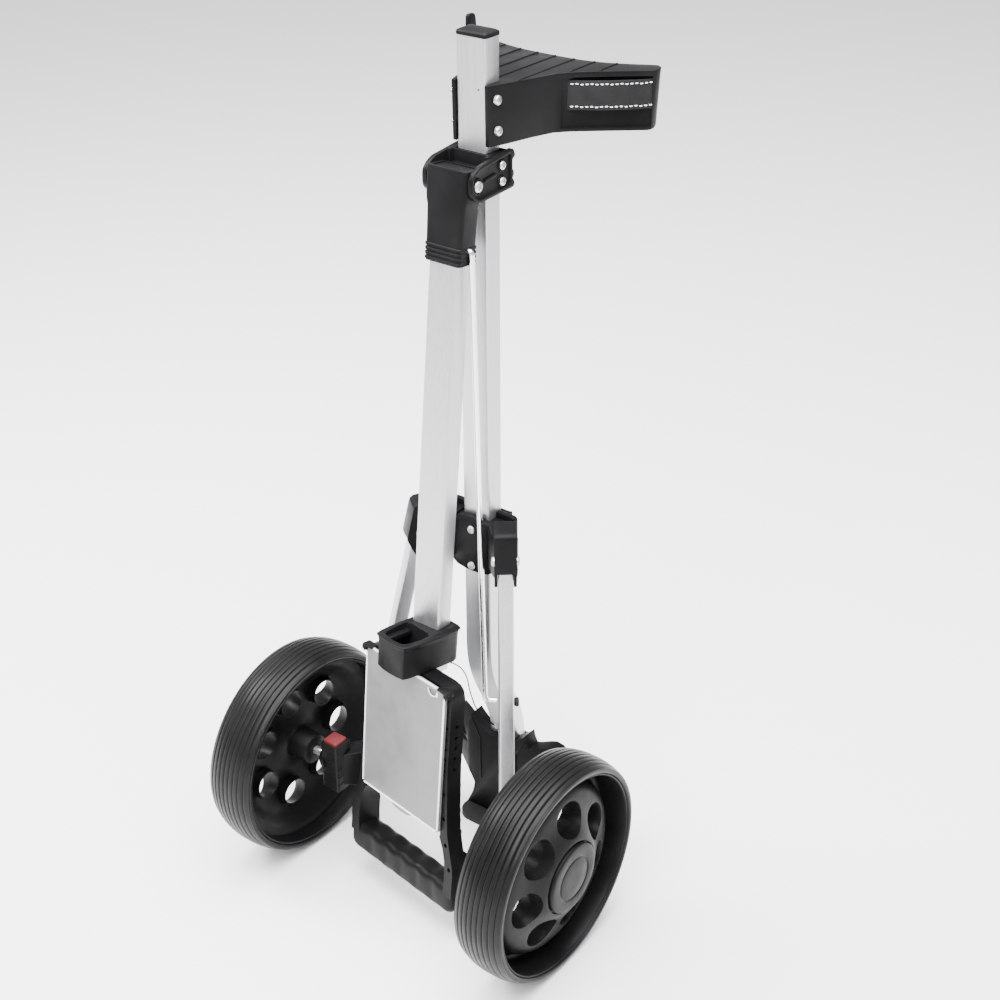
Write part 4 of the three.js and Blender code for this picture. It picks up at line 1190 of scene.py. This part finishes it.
# ------------------------------------------------------------------ lower bag cradle and foot
def lower_cradle():
    plan = [(0, 168), (50, 168), (74, 176), (97, 190), (95, 208), (72, 196), (48, 190), (0, 190)]
    front = [(0, 143), (14, 142), (20, 142.6), (31, 150), (40, 158), (44, 163), (46.5, 153), (50, 144.5),
             (56, 145.6),
             (63, 148.5), (70, 151.4), (76, 152), (84, 147), (90, 138), (93, 127), (93, 113), (88, 102),
             (80, 92),
             (63, 76), (54, 67), (48, 59), (42.5, 49.5), (41, 45), (43, 34), (46, 25), (51, 14), (54, 8.6),
             (0, 8.6)]
    bend = []
    for z in (0, 20, 60, 100, 122, 138, 154, 170, 190, 210):
        k = min(max((322 - z) / 200, 0), 1)
        centre = TUBE_Y + 51 * k ** 3 * (k * (6 * k - 15) + 10)
        bend.append((centre, z))
    hw, hd = TUBE_W / 2 + 0.2, TUBE_D / 2 + 0.3
    slot_shape = [(y - hd - 0.2, z) for y, z in bend] + [(y + hd + 0.2, z) for y, z in reversed(bend)]
    tools = [prism(slot_shape, -hw, hw, "x")]
    for sign in (1, -1):
        window = [(51 * sign, 111), (58 * sign, 116.5), (72 * sign, 125), (84.5 * sign, 130),
                  (86 * sign, 118),
                  (84.5 * sign, 103)]
        tools.append(prism(round_corners(window, 2.5, 3), 150, 250, "y"))
        lo, hi = sorted((26 * sign, 120 * sign))
        for z in (112, 56):
            tools.append(rod(7, lo, hi, 24, "x", (190.5, z)))
    arms = boolean(prism(mirror(plan), 8.6, 190), [prism(mirror(front), 150, 240, "y")], "INTERSECT")
    arms = boolean(arms, [block(-26, 26, 172, 210, 34, 134)], "UNION")
    arms = boolean(arms, tools)
    parts = [soften(arms, 1.3, 3, 35)]
    for sign in (1, -1):
        for (x0, z0), (x1, z1) in (((30, 128), (45, 156)), ((30, 60), (30, 128)), ((45, 112), (88, 139))):
            direction = Vector((x1 - x0, z1 - z0)).normalized()
            across = Vector((-direction.y, direction.x)) * 1.1
            rib = [(sign * (x0 + across.x), z0 + across.y), (sign * (x1 + across.x), z1 + across.y),
                   (sign * (x1 - across.x), z1 - across.y), (sign * (x0 - across.x), z0 - across.y)]
            near = 166.9 if x1 < 60 else 170
            parts.append(soften(prism(rib, near, near + 12, "y"), 0.5, 2))
    look("lower_cradle", merged(*parts), CART)


def foot_pad():
    pad = prism(rounded(54, 34, 20, 8, (0, 176)), 0.05, 8)
    grooves = [block(-60, 60, 150 + 13 * k, 152.5 + 13 * k, -2, 1.5) for k in range(5)]
    look("foot_pad", soften(boolean(pad, grooves), 1.2, 3, 40), CART)


lower_cradle()
foot_pad()
bolt_across("lower_cradle_bolt_1", 5.4, spin=0.7)
bolt_across("lower_cradle_bolt_2", 5.4, spin=0.2)


# ------------------------------------------------------------------ stage
def add_light(name, place, aim, size, power):
    data = bpy.data.lights.new(name, "AREA")
    data.energy = power
    data.shape = "SQUARE"
    data.size = size
    lamp = bpy.data.objects.new(name, data)
    bpy.context.scene.collection.objects.link(lamp)
    lamp.location = place
    lamp.rotation_euler = (Vector(aim) - Vector(place)).to_track_quat("-Z", "Y").to_euler()


def add_floor():
    bm = bmesh.new()
    bmesh.ops.create_grid(bm, x_segments=8, y_segments=8, size=6)
    mesh = bpy.data.meshes.new("floor")
    bm.to_mesh(mesh)
    bm.free()
    floor = bpy.data.objects.new("floor", mesh)
    bpy.context.scene.collection.objects.link(floor)
    material, shader = principled("floor", (0.97, 0.97, 0.97), 0.8)
    ramp_to(material, noise(material, 0.6), shader.inputs["Base Color"], (0.965, 0.965, 0.965),
            (0.98, 0.98, 0.98))
    mesh.materials.append(material)


add_floor()
world = bpy.data.worlds.new("studio")
world.use_nodes = True
background = world.node_tree.nodes["Background"]
background.inputs["Color"].default_value = (1, 1, 1, 1)
background.inputs["Strength"].default_value = 1.0
bpy.context.scene.world = world
add_light("top", (0.2, -0.2, 3.4), (0, 0, 0), 3.2, 520)
add_light("key", (0.6, -2.2, 2.6), (0, 0, 0.5), 1.3, 90)
add_light("rim", (-1.8, -0.6, 2.2), (0, 0, 0.5), 0.9, 90)
